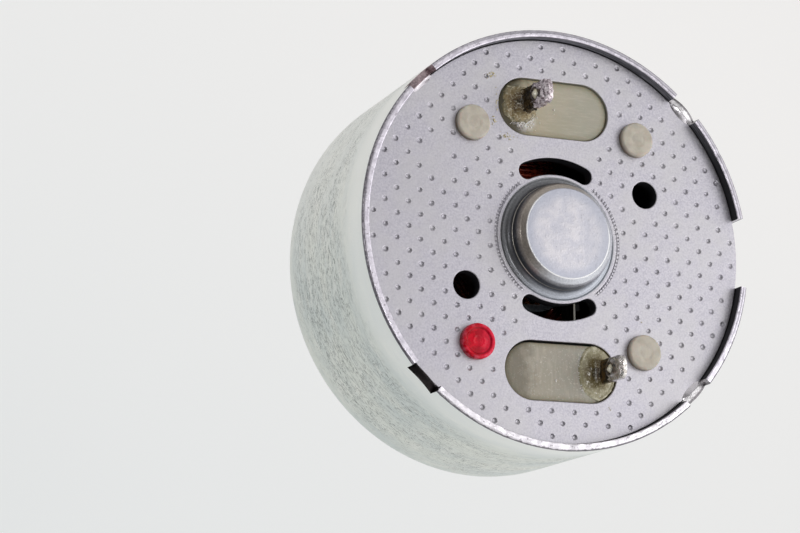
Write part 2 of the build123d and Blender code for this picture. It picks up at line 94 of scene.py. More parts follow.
# ---- sizes that the CAD source also holds -----------------------------------------------------
CAN_WALL = 0.8
RIM_WALL = 0.42
RIM_INNER_R = CAN_R - RIM_WALL
CAN_INNER_R = CAN_R - CAN_WALL
BOSS_R = 3.05
REAR_BUSH_R = BOSS_R - 0.55
Z_BOSS_ROOF = Z_BOSS - 0.5
Z_PAD = Z_PLATE - 0.25
PAD_TOP = Z_PAD + 0.1
WINDOW_Y = 7.65
WINDOW = (7.0, 3.4)
KIDNEY_R = 4.25
KIDNEY_WIDTH = 0.98
KIDNEY_HALF_ANGLE = 25.5
HOLES = [(5.75, 3.08), (-5.75, -3.08)]
HOLE_R = 0.8
POST_R = 0.78
STAKES = [(-POLARITY_STAKE[0], -POLARITY_STAKE[1]), (POLARITY_STAKE[0], -POLARITY_STAKE[1]),
          (-POLARITY_STAKE[0], POLARITY_STAKE[1]), POLARITY_STAKE]
TERMINAL_PLACES = {
    "positive": {"at": (2.36, -7.60), "lean": (0.10, 0.0)},
    "negative": {"at": (-2.08, 7.80), "lean": (0.24, 0.08)},
}
TAB_WIDTH = 1.3
TAB_THICKNESS = 0.3
TAB_TOP = 2.85
EYE_LEVEL = 1.75
EYE = (0.35, 0.29)
WEIGHT_HALF_ANGLE = 165 / 2
WEIGHT_HUB_R = 2.8

# ---- sizes that only the looks need -----------------------------------------------------------
WINDOW_REACH = (WINDOW[0] - WINDOW[1]) / 2
POST_HOLE_R = POST_R + 0.02
Z_STAKE = Z_PLATE + STAKE_HEIGHT
Z_RIDGE = Z_PLATE + 0.42
BOSS_TOP_R = 2.6
SOOT_TOP = 1.3
FROST_PLACE = (-1.85, 6.95)
JUST_INSIDE = 0.9999


def tab_axes(polarity):
    """Origin and axes of one leaning solder tab: across, up and outward from its face."""
    place = TERMINAL_PLACES[polarity]
    up = Vector((*place["lean"], 1)).normalized()
    out = Vector((0, 1, 0)).cross(up).normalized()
    return Vector((*place["at"], Z_PAD)), up.cross(out), up, out


# ==== making meshes ============================================================================

def new_piece(name, bm, materials, body, slot, replaces=(), sharp=40.0, weld=True):
    """Turn a mesh in millimetres into a piece in metres that rides on one body."""
    if weld:
        bmesh.ops.remove_doubles(bm, verts=bm.verts, dist=WELD)
    bmesh.ops.recalc_face_normals(bm, faces=bm.faces)
    bmesh.ops.scale(bm, vec=(MM, MM, MM), verts=bm.verts)
    smooth = [face.smooth for face in bm.faces]
    mesh = bpy.data.meshes.new(name)
    bm.to_mesh(mesh)
    bm.free()
    mesh.set_sharp_from_angle(angle=math.radians(sharp))
    mesh.polygons.foreach_set("use_smooth", smooth)
    for material in materials:
        mesh.materials.append(material)
    piece = bpy.data.objects.new(name, mesh)
    bpy.context.scene.collection.objects.link(piece)
    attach(piece, body)
    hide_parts(*replaces)
    return piece


def add_face(bm, corners, material=0, smooth=True):
    """Add one face, leaving out corners that coincide."""
    corners = list(dict.fromkeys(corners))
    if len(corners) > 2:
        face = bm.faces.new(corners)
        face.smooth = smooth
        face.material_index = material


def bridge(bm, first, second, material=0, smooth=True):
    """Join two closed rings, either of which may be a single point."""
    count = max(len(first), len(second))
    for k in range(count):
        n = (k + 1) % count
        corners = [first[k % len(first)], first[n % len(first)]]
        corners += [second[n % len(second)], second[k % len(second)]]
        add_face(bm, corners, material, smooth)


def join_rings(bm, rings, closed=False, material=0):
    """Join each ring to the next, and the last to the first where they close."""
    for first, second in zip(rings, rings[1:] + (rings[:1] if closed else [])):
        bridge(bm, first, second, material)


def ring(bm, points, level):
    """Add the vertices of one flat outline."""
    return [bm.verts.new((x, y, level)) for x, y in points]


def rounded(corners, steps=5, closed=True):
    """Points of an outline of (x, y, radius) corners, with arcs where the radius isn't zero."""
    points = []
    count = len(corners)
    for i, (x, y, radius) in enumerate(corners):
        corner = Vector((x, y))
        if radius == 0 or (not closed and i in (0, count - 1)):
            points.append((x, y))
            continue
        before = (Vector(corners[i - 1][:2]) - corner).normalized()
        after = (Vector(corners[(i + 1) % count][:2]) - corner).normalized()
        half = before.angle(after) / 2
        centre = corner + (before + after).normalized() * radius / math.sin(half)
        start = corner + before * radius / math.tan(half) - centre
        turn = start.angle_signed(corner + after * radius / math.tan(half) - centre)
        for step in range(steps + 1):
            arm = start.copy()
            arm.rotate(Matrix.Rotation(-turn * step / steps, 2))
            points.append(tuple(centre + arm))
    return points


def lathe(bm, profile, segments=SEGMENTS, closed=True, material=0, centre=(0, 0)):
    """Revolve a profile of (radius, height) points round a line along Z."""
    rings = []
    for radius, level in profile:
        if radius < WELD:
            rings.append([bm.verts.new((*centre, level))])
        else:
            rings.append(ring(bm, circle(radius, segments, centre), level))
    join_rings(bm, rings, closed, material)
    return rings


def circle(radius, count, centre=(0, 0)):
    """Points of a circle."""
    angles = [2 * math.pi * k / count for k in range(count)]
    return [(centre[0] + radius * math.cos(a), centre[1] + radius * math.sin(a)) for a in angles]


def arc(radius, start, end, count, centre=(0, 0)):
    """Points of an arc between two angles in degrees."""
    angles = [math.radians(start + (end - start) * k / (count - 1)) for k in range(count)]
    return [(centre[0] + radius * math.cos(a), centre[1] + radius * math.sin(a)) for a in angles]


def quarter_turn(steps):
    """Cosine and sine of even steps through a right angle."""
    angles = [math.pi / 2 * step / steps for step in range(steps + 1)]
    return [(math.cos(a), math.sin(a)) for a in angles]


def obround(centre, length, width, grow=0.0, count=28):
    """Outline of a slot with round ends that lies along X."""
    radius = width / 2 + grow
    reach = (length - width) / 2
    right = arc(radius, -90, 90, count, (centre[0] + reach, centre[1]))
    left = arc(radius, 90, 270, count, (centre[0] - reach, centre[1]))
    return right + left


def kidney(middle, grow=0.0, count=30):
    """Outline of a slot with round ends that lies along an arc round the shaft."""
    half = KIDNEY_WIDTH / 2 + grow
    low, high = middle - KIDNEY_HALF_ANGLE, middle + KIDNEY_HALF_ANGLE
    first_end, last_end = (arc(KIDNEY_R, angle, angle + 1, 2)[0] for angle in (low, high))
    outline = arc(KIDNEY_R + half, low, high, count)
    outline += arc(half, high, high + 180, 14, last_end)[1:-1]
    outline += arc(KIDNEY_R - half, high, low, count)
    outline += arc(half, low + 180, low + 360, 14, first_end)[1:-1]
    return outline


def flat_sheet(loops, keep):
    """Triangulate the flat region that keep(x, y) accepts between outlines, as points and faces."""
    points, edges = [], []
    for loop, closed in loops:
        first = len(points)
        points += loop
        edges += [(first + k, first + k + 1) for k in range(len(loop) - 1)]
        if closed:
            edges.append((len(points) - 1, first))
    made = delaunay_2d_cdt([Vector(p) for p in points], edges, [], 0, WELD / 10)
    spots, faces = made[0], made[2]
    kept = []
    for face in faces:
        centre = sum((spots[i] for i in face), Vector((0, 0))) / 3
        if keep(centre.x, centre.y):
            kept.append(face)
    return spots, kept


def add_sheet(bm, sheet, level):
    """Add a triangulated flat region at one level."""
    spots, faces = sheet
    verts = ring(bm, spots, level)
    for face in faces:
        add_face(bm, [verts[i] for i in face], 0, False)


def fuzz(point, scale, seed=0.0):
    """Smooth random value from -1 to 1 at a place, where scale is in bumps per millimetre."""
    return noise.noise(Vector(point) * scale + Vector((seed, -seed, seed * 0.5)))


def blend_in(value, low, high):
    """0 below low, 1 above high, and smooth between."""
    share = min(max((value - low) / (high - low), 0), 1)
    return share * share * (3 - 2 * share)


# ==== materials ================================================================================

def tint(red, green, blue):
    """A linear colour from one as seen on a screen, each channel from 0 to 255."""
    def linear(value):
        share = value / 255
        return share / 12.92 if share <= 0.04045 else ((share + 0.055) / 1.055) ** 2.4
    return (linear(red), linear(green), linear(blue), 1.0)


class Nodes:
    """A node tree that is built up in short calls."""

    def __init__(self, tree):
        self.tree = tree

    def node(self, kind, *inputs, **settings):
        """Add a node, set its properties, and feed its inputs in order."""
        node = self.tree.nodes.new(kind)
        for setting, value in settings.items():
            setattr(node, setting, value)
        for socket, value in zip(node.inputs, inputs):
            self.feed(socket, value)
        return node

    def feed(self, socket, value):
        """Link or set one socket."""
        if isinstance(value, bpy.types.NodeSocket):
            self.tree.links.new(value, socket)
        elif value is not None:
            socket.default_value = value

    def math(self, operation, a, b=None, clamp=False):
        """A number worked out from one or two others."""
        return self.node("ShaderNodeMath", a, b, operation=operation, use_clamp=clamp).outputs[0]

    def times(self, first, *others):
        """Several numbers multiplied together."""
        for other in others:
            first = self.math("MULTIPLY", first, other)
        return first

    def vector(self, operation, a, b=None, scale=None):
        """A vector, or one number, worked out from others."""
        node = self.node("ShaderNodeVectorMath", a, b, operation=operation)
        if scale is not None:
            node.inputs["Scale"].default_value = scale
        return node.outputs["Value" if operation in ("DISTANCE", "DOT_PRODUCT") else "Vector"]

    def between(self, value, low, high, to_low=0.0, to_high=1.0):
        """A number taken smoothly from one range to another."""
        node = self.node("ShaderNodeMapRange", value, low, high, to_low, to_high)
        node.interpolation_type = "SMOOTHSTEP"
        return node.outputs[0]


class Finish(Nodes):
    """One material. Its colour is painted on in layers; shades are screen colours up to 255."""

    def __init__(self, name, **settings):
        self.material = bpy.data.materials.new(name)
        self.material.use_nodes = True
        super().__init__(self.material.node_tree)
        self.shader = next(n for n in self.tree.nodes if n.type == "BSDF_PRINCIPLED")
        for setting, value in settings.items():
            socket = setting.replace("_", " ").title().replace("Ior", "IOR")
            self.shader.inputs[socket].default_value = value
        place = self.node("ShaderNodeTexCoord")
        self.mm = self.vector("SCALE", place.outputs["Object"], scale=1 / MM)
        self.x, self.y, self.z = self.node("ShaderNodeSeparateXYZ", self.mm).outputs
        self.colour = None

    def along(self, x, y):
        """How far a point lies along a direction in plan."""
        return self.vector("DOT_PRODUCT", self.mm, (x, y, 0.0))

    def from_axis(self, centre=(0, 0)):
        """Distance in plan from a line along Z."""
        flat = self.vector("MULTIPLY", self.mm, (1.0, 1.0, 0.0))
        return self.vector("DISTANCE", flat, (*centre, 0.0))

    def noise(self, scale, detail=3.0, roughness=0.55, distortion=0.0):
        """Noise from 0 to 1; scale is in features per millimetre, one number or three."""
        where = self.mm
        if not isinstance(scale, (int, float)):
            where = self.vector("MULTIPLY", where, scale)
            scale = 1.0
        node = self.node("ShaderNodeTexNoise", where)
        node.inputs["Scale"].default_value = scale
        node.inputs["Detail"].default_value = detail
        node.inputs["Roughness"].default_value = roughness
        node.inputs["Distortion"].default_value = distortion
        return node.outputs[0]

    def line(self, value, middle, outer, inner):
        """1 within inner of a middle value, fading to 0 at outer."""
        away = self.math("ABSOLUTE", self.math("SUBTRACT", value, middle))
        return self.between(away, outer, inner)

    def mix(self, share, *shades):
        """A colour between two others."""
        node = self.node("ShaderNodeMix", data_type="RGBA")
        self.feed(node.inputs[0], share)
        for socket, shade in zip((node.inputs[6], node.inputs[7]), shades):
            self.feed(socket, tint(*shade) if isinstance(shade, tuple) else shade)
        return node.outputs[2]

    def paint(self, share, shade, strength=1.0):
        """Cover the colour so far by a share from 0 to 1 times a strength."""
        if strength != 1.0:
            share = self.times(share, strength)
        self.colour = self.mix(share, self.colour, shade)

    def bump(self, height, distance, under=None):
        """A normal pushed by a height from 0 to 1 times a distance in millimetres."""
        node = self.node("ShaderNodeBump")
        node.inputs["Distance"].default_value = distance * MM
        self.feed(node.inputs["Height"], height)
        self.feed(node.inputs["Normal"], under)
        return node.outputs[0]

    def finish(self, roughness, normal=None, metallic=None):
        """Feed the shader and return the material."""
        self.feed(self.shader.inputs["Base Color"], self.colour)
        self.feed(self.shader.inputs["Roughness"], roughness)
        self.feed(self.shader.inputs["Normal"], normal)
        self.feed(self.shader.inputs["Metallic"], metallic)
        return self.material


def plate_steel():
    """Bright plated sheet: lilac grey, finely speckled, with dirt, and painted shade on its left side
    and in its dimples.
    """
    f = Finish("plated_plate_steel", metallic=0.86)
    speckle = f.noise(9.0, 2.0)
    f.colour = f.mix(f.between(speckle, 0.3, 0.7), (178, 175, 185), (203, 200, 207))
    f.paint(f.between(f.noise(0.45, 3.0), 0.35, 0.7, 0.0, 0.45), (198, 196, 196))
    # painted shade: a darker left side
    dull = f.times(f.between(f.x, -1.0, -9.0), f.between(f.y, 8.0, 2.0, 0.4, 1.0))
    f.paint(dull, (162, 159, 168), 0.25)
    f.paint(f.between(f.noise(2.8, 3.0, 0.7), 0.72, 0.76, 0.0, 0.5), (140, 136, 140))
    # painted shade in the bowls of the dimples
    in_dimple = f.between(f.z, Z_PLATE - 0.008, Z_PLATE - 0.045)
    f.paint(in_dimple, (146, 144, 152), 0.18)
    grain = f.bump(f.noise(11.0, 3.0, 0.65), 0.012)
    normal = f.bump(f.noise(2.6, 2.0), 0.012, grain)
    return f.finish(f.between(speckle, 0.3, 0.7, 0.40, 0.52), normal)


def boss_wall(f, fine):
    """Colour of the boss's wall: grey foot, painted highlight on the ridge, dark wall, pale shoulder,
    painted shade at left.
    """
    # painted shade: the wall's left side is darker and browner
    warm = f.between(f.along(-0.3, 0.2), -0.3, 0.5)
    near_top = f.mix(warm, (204, 206, 212), (186, 176, 166))
    f.colour = f.mix(f.between(f.z, Z_BOSS - 0.62, Z_BOSS - 0.18), (82, 84, 90), near_top)
    foot = f.mix(warm, (164, 168, 176), (126, 127, 130))
    f.paint(f.between(f.z, Z_RIDGE, Z_PLATE + 0.05), foot)
    # painted highlight along the ridge, stronger on the left
    ridge = f.line(f.z, Z_RIDGE, 0.045, 0.01)
    f.paint(f.times(ridge, f.between(warm, 0.0, 1.0, 0.3, 0.9)), (246, 240, 226))
    f.paint(f.between(fine, 0.35, 0.65, 0.25, 0.0), (60, 60, 66))
    return f.colour


def boss_top(f, reach, mottle):
    """Colour of the boss's top: mottled and scratched, with painted shade greying its edge and its
    right side.
    """
    scratch = f.noise((7.0, 0.9, 1.0), 3.0, 0.7, 1.6)
    f.colour = f.mix(f.between(mottle, 0.35, 0.65), (192, 191, 200), (208, 205, 210))
    # painted shade: greyer at the edge and towards +X
    f.paint(f.between(reach, 1.7, 2.5, 0.0, 0.9), (176, 178, 190))
    f.paint(f.between(f.x, 0.2, 2.4, 0.0, 0.45), (172, 173, 182))
    f.paint(f.between(scratch, 0.61, 0.68, 0.0, 0.45), (150, 148, 158))
    return f.colour


def boss_steel():
    """The drawn boss: the plate's metal, smoothed by the die, with a painted highlight along the edge
    of its top.
    """
    f = Finish("drawn_boss_steel")
    mottle = f.noise(1.3, 4.0, 0.6)
    fine = f.noise(9.0, 3.0, 0.6)
    reach = f.from_axis()
    on_top = f.between(reach, BOSS_TOP_R + 0.06, BOSS_TOP_R)
    f.colour = f.mix(on_top, boss_wall(f, fine), boss_top(f, reach, mottle))
    f.paint(f.between(fine, 0.60, 0.70, 0.0, 0.45), (148, 148, 156))
    # painted highlight: a white line round the top's edge on its lower left, made less metallic so it
    # stays white
    lit = f.between(f.along(-0.35 / BOSS_TOP_R, -0.94 / BOSS_TOP_R), -0.75, -0.35)
    edge = f.times(f.line(reach, BOSS_TOP_R, 0.05, 0.015), lit, f.between(mottle, 0.3, 0.5, 0.6, 1.0))
    f.paint(edge, (255, 255, 255))
    metal = f.times(f.between(on_top, 0.0, 1.0, 0.72, 0.9), f.between(edge, 0.0, 1.0, 1.0, 0.1))
    normal = f.bump(fine, 0.008, f.bump(mottle, 0.012))
    return f.finish(f.between(fine, 0.3, 0.7, 0.28, 0.38), normal, metal)


def zinc_scuffs(f):
    """Where the can is scuffed: broken wavy lines in a band round its middle."""
    wave = f.noise((0.75, 0.75, 4.2), 3.0, 0.6, 0.9)
    lines = f.between(f.math("SINE", f.times(wave, 64.0)), 0.35, 0.95)
    broken = f.between(f.noise((2.2, 2.2, 6.5), 3.0, 0.7), 0.44, 0.56)
    worn = f.between(f.noise((0.22, 0.22, 0.7), 3.0, 0.6), 0.36, 0.56, 0.35, 1.0)
    return f.times(lines, broken, f.between(f.z, -5.6, -3.4), f.between(f.z, 4.2, 1.8), worn)


def zinc_steel():
    """Zinc-plated can: pale greenish grey and cloudy, with painted light making it paler towards its
    rim and its upper side.
    """
    f = Finish("zinc_plated_can", metallic=0.72)
    cloud = f.noise((0.6, 0.6, 1.5), 4.0, 0.6)
    patch = f.noise((0.16, 0.16, 0.4), 3.0, 0.6)
    f.colour = f.mix(f.between(patch, 0.35, 0.65), (228, 231, 224), (214, 220, 217))
    f.paint(f.between(cloud, 0.45, 0.75, 0.0, 0.6), (244, 244, 238))
    f.paint(f.between(cloud, 0.44, 0.25, 0.0, 0.45), (190, 197, 194))
    # painted light: paler towards the rim and towards +Y
    f.paint(f.between(f.z, 2.5, 5.2, 0.0, 0.7), (247, 248, 246))
    f.paint(f.between(f.y, -4.0, 6.0, 0.0, 0.6), (246, 246, 242))
    scuffs = zinc_scuffs(f)
    f.paint(scuffs, (112, 119, 117), 0.8)
    normal = f.bump(scuffs, -0.025, f.bump(f.noise(9.0, 3.0, 0.6), 0.012))
    return f.finish(f.between(cloud, 0.3, 0.7, 0.42, 0.56), normal)


def rim_steel():
    """Cut top of the rim: pale drag marks, dark flecks, a painted dark reflection on its outer corner,
    and a seam at upper right.
    """
    f = Finish("rim_edge_steel", metallic=0.9)
    drag = f.noise((2.2, 2.2, 0.5), 4.0, 0.7)
    fleck = f.noise(5.0, 3.0, 0.6)
    f.colour = f.mix(f.between(drag, 0.35, 0.65), (196, 191, 201), (226, 221, 230))
    f.paint(f.between(f.y, -7.0, -10.5), (240, 236, 240), 0.6)
    f.paint(f.between(fleck, 0.60, 0.68, 0.0, 0.7), (132, 126, 134))
    # painted dark reflection on the outer corner, wider towards +X
    reach = f.math("ADD", f.from_axis(), f.between(fleck, 0.3, 0.7, -0.02, 0.02))
    reach = f.math("ADD", reach, f.between(f.x, -2.0, 6.0, 0.0, 0.05))
    f.paint(f.between(reach, CAN_R - 0.07, CAN_R - 0.03), (86, 82, 90), 0.85)
    upper_right = f.between(f.along(1.0, 1.0), 4.0, 9.0)
    f.paint(f.times(f.line(reach, CAN_R - 0.19, 0.05, 0.02), upper_right), (124, 120, 128), 0.8)
    f.paint(f.times(f.between(reach, CAN_R - 0.24, CAN_R - 0.19), upper_right), (160, 157, 164), 0.5)
    normal = f.bump(f.noise(7.0, 3.0, 0.7), 0.012, f.bump(drag, 0.012))
    return f.finish(f.between(fleck, 0.3, 0.7, 0.28, 0.42), normal)


def torn_steel():
    """Sheared steel at the bottom of a crimp notch: rough, with painted light and shade by notch, black
    at lower left, brown at upper left, white and grey at right.
    """
    f = Finish("sheared_notch_steel", metallic=0.9)
    coarse = f.noise((5.0, 5.0, 2.0), 4.0, 0.7)
    # painted light and shade by notch: black at the lower left, brown at the upper left, white and grey
    # on the right
    low = f.between(f.y, 2.0, -2.0)
    inner = f.between(f.from_axis(), CAN_R - 0.12, CAN_R - 0.18)
    right = f.mix(inner, (150, 147, 150), f.mix(low, (248, 246, 248), (236, 234, 236)))
    left = f.mix(low, (196, 176, 180), (44, 42, 42))
    f.colour = f.mix(f.between(f.x, 2.0, -2.0), right, left)
    f.paint(f.between(coarse, 0.40, 0.62, 0.45, 0.0), (62, 52, 54))
    normal = f.bump(f.noise(8.0, 3.0, 0.7), 0.015, f.bump(coarse, 0.02))
    return f.finish(f.between(coarse, 0.3, 0.7, 0.34, 0.48), normal)


def burnished_steel():
    """The face of a crimp lip: wiped bright by the punch, with painted shadow at the lower left and
    painted shade greying the left.
    """
    f = Finish("burnished_lip_steel", metallic=0.92)
    wipe = f.noise((3.0, 3.0, 14.0), 3.0)
    # painted shadow on the lips at the lower left
    shadowed_lower_left = f.times(f.between(f.x, 0.0, -2.0), f.between(f.y, 0.0, -2.0))
    f.colour = f.mix(wipe, (212, 206, 212), (246, 243, 247))
    f.paint(shadowed_lower_left, f.mix(wipe, (30, 28, 30), (58, 55, 58)))
    # painted shade greying the lips on the left
    f.paint(f.between(f.x, 2.0, -2.0, 0.0, 0.5), (150, 144, 150))
    return f.finish(f.between(wipe, 0.3, 0.7, 0.18, 0.3), f.bump(wipe, 0.01))


def dark_inside():
    """Inner walls: dull steel, near black as painted shade; lined, with painted light inside the upper
    rim; in the windows, a painted reflection of the pad and brown flux.
    """
    f = Finish("dull_inner_steel", metallic=0.3)
    grime = f.noise((0.8, 0.8, 5.0), 3.0)
    lines = f.between(f.noise((0.6, 0.6, 12.0), 3.0, 0.6), 0.4, 0.6)
    # painted shade: the inner walls are near black
    f.colour = f.mix(grime, (22, 22, 26), (56, 56, 60))
    # painted light on the upper rim's inner wall, with lines in it
    lit_upper_rim_wall = f.times(f.between(f.y, 4.5, 9.0), f.between(f.z, Z_PLATE, Z_PLATE + 0.1))
    f.paint(lit_upper_rim_wall, f.mix(lines, (74, 74, 80), (132, 132, 138)))
    away = f.between(f.from_axis(), 10.2, 10.0)
    window_wall = f.times(f.between(f.z, Z_PLATE_BACK, Z_PLATE - 0.2), away)
    # painted reflection of the pad on the upper window's wall
    f.paint(f.times(f.between(f.y, 5.8, 5.9), window_wall), (150, 148, 136))
    # brown flux on the right end of the lower window's wall
    lower_right = f.times(f.between(f.x, 2.0, 2.9), f.between(f.y, -5.8, -5.9))
    f.paint(f.times(lower_right, window_wall), (116, 106, 76))
    return f.finish(f.between(grime, 0.2, 0.8, 0.4, 0.6), f.bump(grime, 0.02))


def stain_pads(f):
    """Paint the pads' brown edges, their smoky left ends and the white frost by one tab."""
    overhang = f.math("MAXIMUM", f.math("SUBTRACT", f.math("ABSOLUTE", f.x), WINDOW_REACH), 0.0)
    across = f.math("SUBTRACT", f.math("ABSOLUTE", f.y), WINDOW_Y)
    squares = f.math("ADD", f.math("POWER", overhang, 2.0), f.math("POWER", across, 2.0))
    below = f.between(f.z, Z_PLATE - 0.04, Z_PLATE - 0.1)
    edge = f.between(f.math("SQRT", squares), 1.2, 1.68)
    f.paint(f.times(edge, below), (134, 124, 88), 0.5)
    wander = f.between(f.noise(1.5, 3.0), 0.2, 0.8, -0.4, 0.4)
    left = f.between(f.math("ADD", f.x, wander), -1.3, -2.6)
    f.paint(f.times(left, f.between(f.y, 5.0, 6.0, 0.55, 1.0), below), (70, 63, 38))
    near = f.between(f.vector("DISTANCE", f.mm, (*FROST_PLACE, PAD_TOP)), 0.95, 0.3)
    f.paint(f.times(near, f.between(f.noise(8.0, 3.0, 0.7), 0.40, 0.56)), (236, 230, 232), 0.9)


def nylon():
    """Natural nylon: warm grey-beige and cloudy, with fine lines in the pads, plainer heads with
    painted shade down their sides, and painted shade below the plate.
    """
    f = Finish("natural_nylon", subsurface_weight=0.2, subsurface_scale=0.25 * MM)
    cloud = f.noise(0.6, 3.0)
    dots = f.between(f.noise(9.5, 3.0, 0.7), 0.58, 0.68)
    upper_lines = f.noise((1.2, 8.0, 1.0), 3.0, 0.6)
    lower_lines = f.noise((7.0, 1.2, 1.0), 3.0, 0.6)
    lines = f.mix(f.between(f.y, -1.0, 1.0), lower_lines, upper_lines)
    f.colour = f.mix(f.between(f.x, -2.0, 2.5), (180, 169, 143), (167, 164, 147))
    f.paint(f.between(cloud, 0.3, 0.7, 0.0, 0.3), (196, 186, 170))
    f.paint(f.between(f.y, 1.0, -1.0, 0.0, 0.5), (159, 154, 148))
    f.paint(f.between(lines, 0.45, 0.75, 0.0, 0.3), (208, 200, 184))
    f.paint(f.times(dots, f.between(f.y, 1.0, -1.0, 0.12, 0.62)), (226, 222, 212))
    stain_pads(f)
    head = f.mix(f.between(f.noise(2.0, 4.0), 0.3, 0.7), (183, 174, 159), (200, 192, 178))
    # painted shade down the sides of the heads
    side = f.mix(f.between(f.z, Z_PLATE + 0.3, Z_PLATE + 0.12), head, (124, 112, 98))
    f.paint(f.between(f.z, Z_PLATE - 0.05, Z_PLATE), side)
    # painted shade: near black below the plate's back
    f.paint(f.between(f.z, Z_PLATE_BACK + 0.02, Z_PLATE_BACK - 0.02), (48, 46, 42))
    normal = f.bump(f.noise(7.0, 4.0, 0.65), 0.012, f.bump(lines, 0.008))
    return f.finish(f.between(cloud, 0.3, 0.7, 0.36, 0.48), normal)


def lacquer():
    """Red paint: painted light on the right, dark in its groove, painted shade down its side, and
    painted pink highlights round its edge.
    """
    f = Finish("red_lacquer", specular_ior_level=0.08, coat_weight=0.22, coat_roughness=0.06)
    pool = f.noise(2.0, 3.0)
    ripple = f.noise(3.5, 3.0)
    reach = f.from_axis(POLARITY_STAKE)
    middle_x, head_top = POLARITY_STAKE[0], Z_PLATE + STAKE_HEIGHT
    f.colour = f.mix(f.between(pool, 0.35, 0.65), (166, 0, 22), (220, 0, 38))
    # painted light: brighter towards +X across the dish
    f.paint(f.between(f.x, middle_x - 0.5, middle_x + 0.9, 0.0, 0.6), (240, 28, 68))
    f.paint(f.line(reach, 0.73, 0.07, 0.02), (122, 0, 18), 0.5)
    # painted shade down the side
    f.paint(f.between(f.z, head_top - 0.06, head_top - 0.2), (120, 0, 16), 0.7)
    # painted highlights: pale pink flecks round the edge
    f.paint(f.times(f.between(reach, 0.80, 0.92), f.between(ripple, 0.44, 0.6)), (242, 96, 120), 0.45)
    return f.finish(f.between(pool, 0.3, 0.7, 0.24, 0.38), f.bump(ripple, 0.06))


def tab_metal(name, polarity, dark, bright, burnt, roughness):
    """Tinned brass with solder over it, coated with burnt flux near the plate, and darkened the same
    way round its eye.
    """
    f = Finish(name, specular_ior_level=0.25)
    origin, _, up, _ = tab_axes(polarity)
    coarse = f.noise(5.0, 4.0, 0.7)
    level = f.math("ADD", f.z, f.between(coarse, 0.2, 0.8, -0.18, 0.18))
    low = f.between(level, Z_PLATE + SOOT_TOP + 0.12, Z_PLATE + SOOT_TOP - 0.12)
    from_eye = f.vector("DISTANCE", f.mm, origin + up * EYE_LEVEL)
    soot = f.math("MAXIMUM", low, f.between(from_eye, 0.58, 0.50, 0.0, 0.9))
    f.colour = f.mix(f.between(coarse, 0.38, 0.62), dark, bright)
    f.paint(soot, f.mix(f.between(f.noise(3.0, 3.0), 0.4, 0.6), burnt, (30, 22, 12)))
    normal = f.bump(f.noise(14.0, 4.0, 0.6), 0.015, f.bump(coarse, 0.035))
    rough = f.between(soot, 0.2, 0.8, f.between(coarse, 0.3, 0.7, *roughness), 0.16)
    return f.finish(rough, normal, f.between(soot, 0.2, 0.8, 0.85, 0.1))


def speckled(name, dark, bright, scale, roughness, bump, **settings):
    """A plain material with its own grain: two shades in a noise pattern, and matching bump."""
    f = Finish(name, **settings)
    grain = f.noise(scale, 4.0, 0.6)
    f.colour = f.mix(f.between(grain, 0.3, 0.7), dark, bright)
    return f.finish(f.between(grain, 0.3, 0.7, *roughness), f.bump(grain, bump))


def flux(name, polarity, radius, shades, gloss):
    """Set flux round a tab's foot: nearly black, then three shades out to its rim, and flecks."""
    f = Finish(name, coat_weight=gloss, coat_roughness=0.12)
    middle, outer, rim = shades
    wander = f.between(f.noise(3.0, 4.0, 0.6), 0.2, 0.8, -0.25, 0.25)
    reach = f.math("ADD", f.from_axis(TERMINAL_PLACES[polarity]["at"]), wander)
    f.colour = f.mix(f.between(reach, 0.35 * radius, 0.8 * radius), middle, outer)
    f.paint(f.between(reach, 0.12 * radius, 0.40 * radius, 0.85, 0.0), (26, 18, 8))
    f.paint(f.between(reach, 0.90 * radius, 1.02 * radius), rim)
    f.paint(f.between(f.noise(9.0, 4.0, 0.65), 0.52, 0.62, 0.0, 1.0 - gloss), (214, 206, 180))
    return f.finish(0.5 - 0.3 * gloss, f.bump(f.noise(5.0, 3.0), 0.03))


def leaf_alloy():
    """Brush leaf: dark faces that are painted shade, and a pale top edge that is a painted highlight.
    """
    f = Finish("brush_leaf_alloy", metallic=0.05)
    grain = f.noise((3.0, 3.0, 10.0), 4.0, 0.6)
    top = span("brush_right")[1].z
    # painted shade: the faces are near black
    f.colour = f.mix(grain, (34, 32, 28), (58, 54, 46))
    # painted highlight along the top edge
    f.paint(f.between(f.z, top - 0.06, top - 0.02), f.mix(grain, (250, 242, 222), (255, 253, 244)))
    return f.finish(f.between(grain, 0.3, 0.7, 0.4, 0.5), f.bump(grain, 0.003))


def enamelled_copper():
    """Copper wire under red-brown enamel, with painted shade darkening it towards -Y."""
    f = Finish("enamelled_copper", metallic=0.45, coat_weight=0.4, coat_roughness=0.1)
    grain = f.noise(3.0, 4.0, 0.6)
    f.colour = f.mix(f.between(grain, 0.3, 0.7), (140, 44, 26), (190, 74, 46))
    # painted shade: darker towards -Y in the rotor's own axes
    f.paint(f.between(f.y, 3.0, 0.5, 0.0, 0.7), (40, 16, 12))
    return f.finish(f.between(grain, 0.3, 0.7, 0.22, 0.34), f.bump(grain, 0.01))


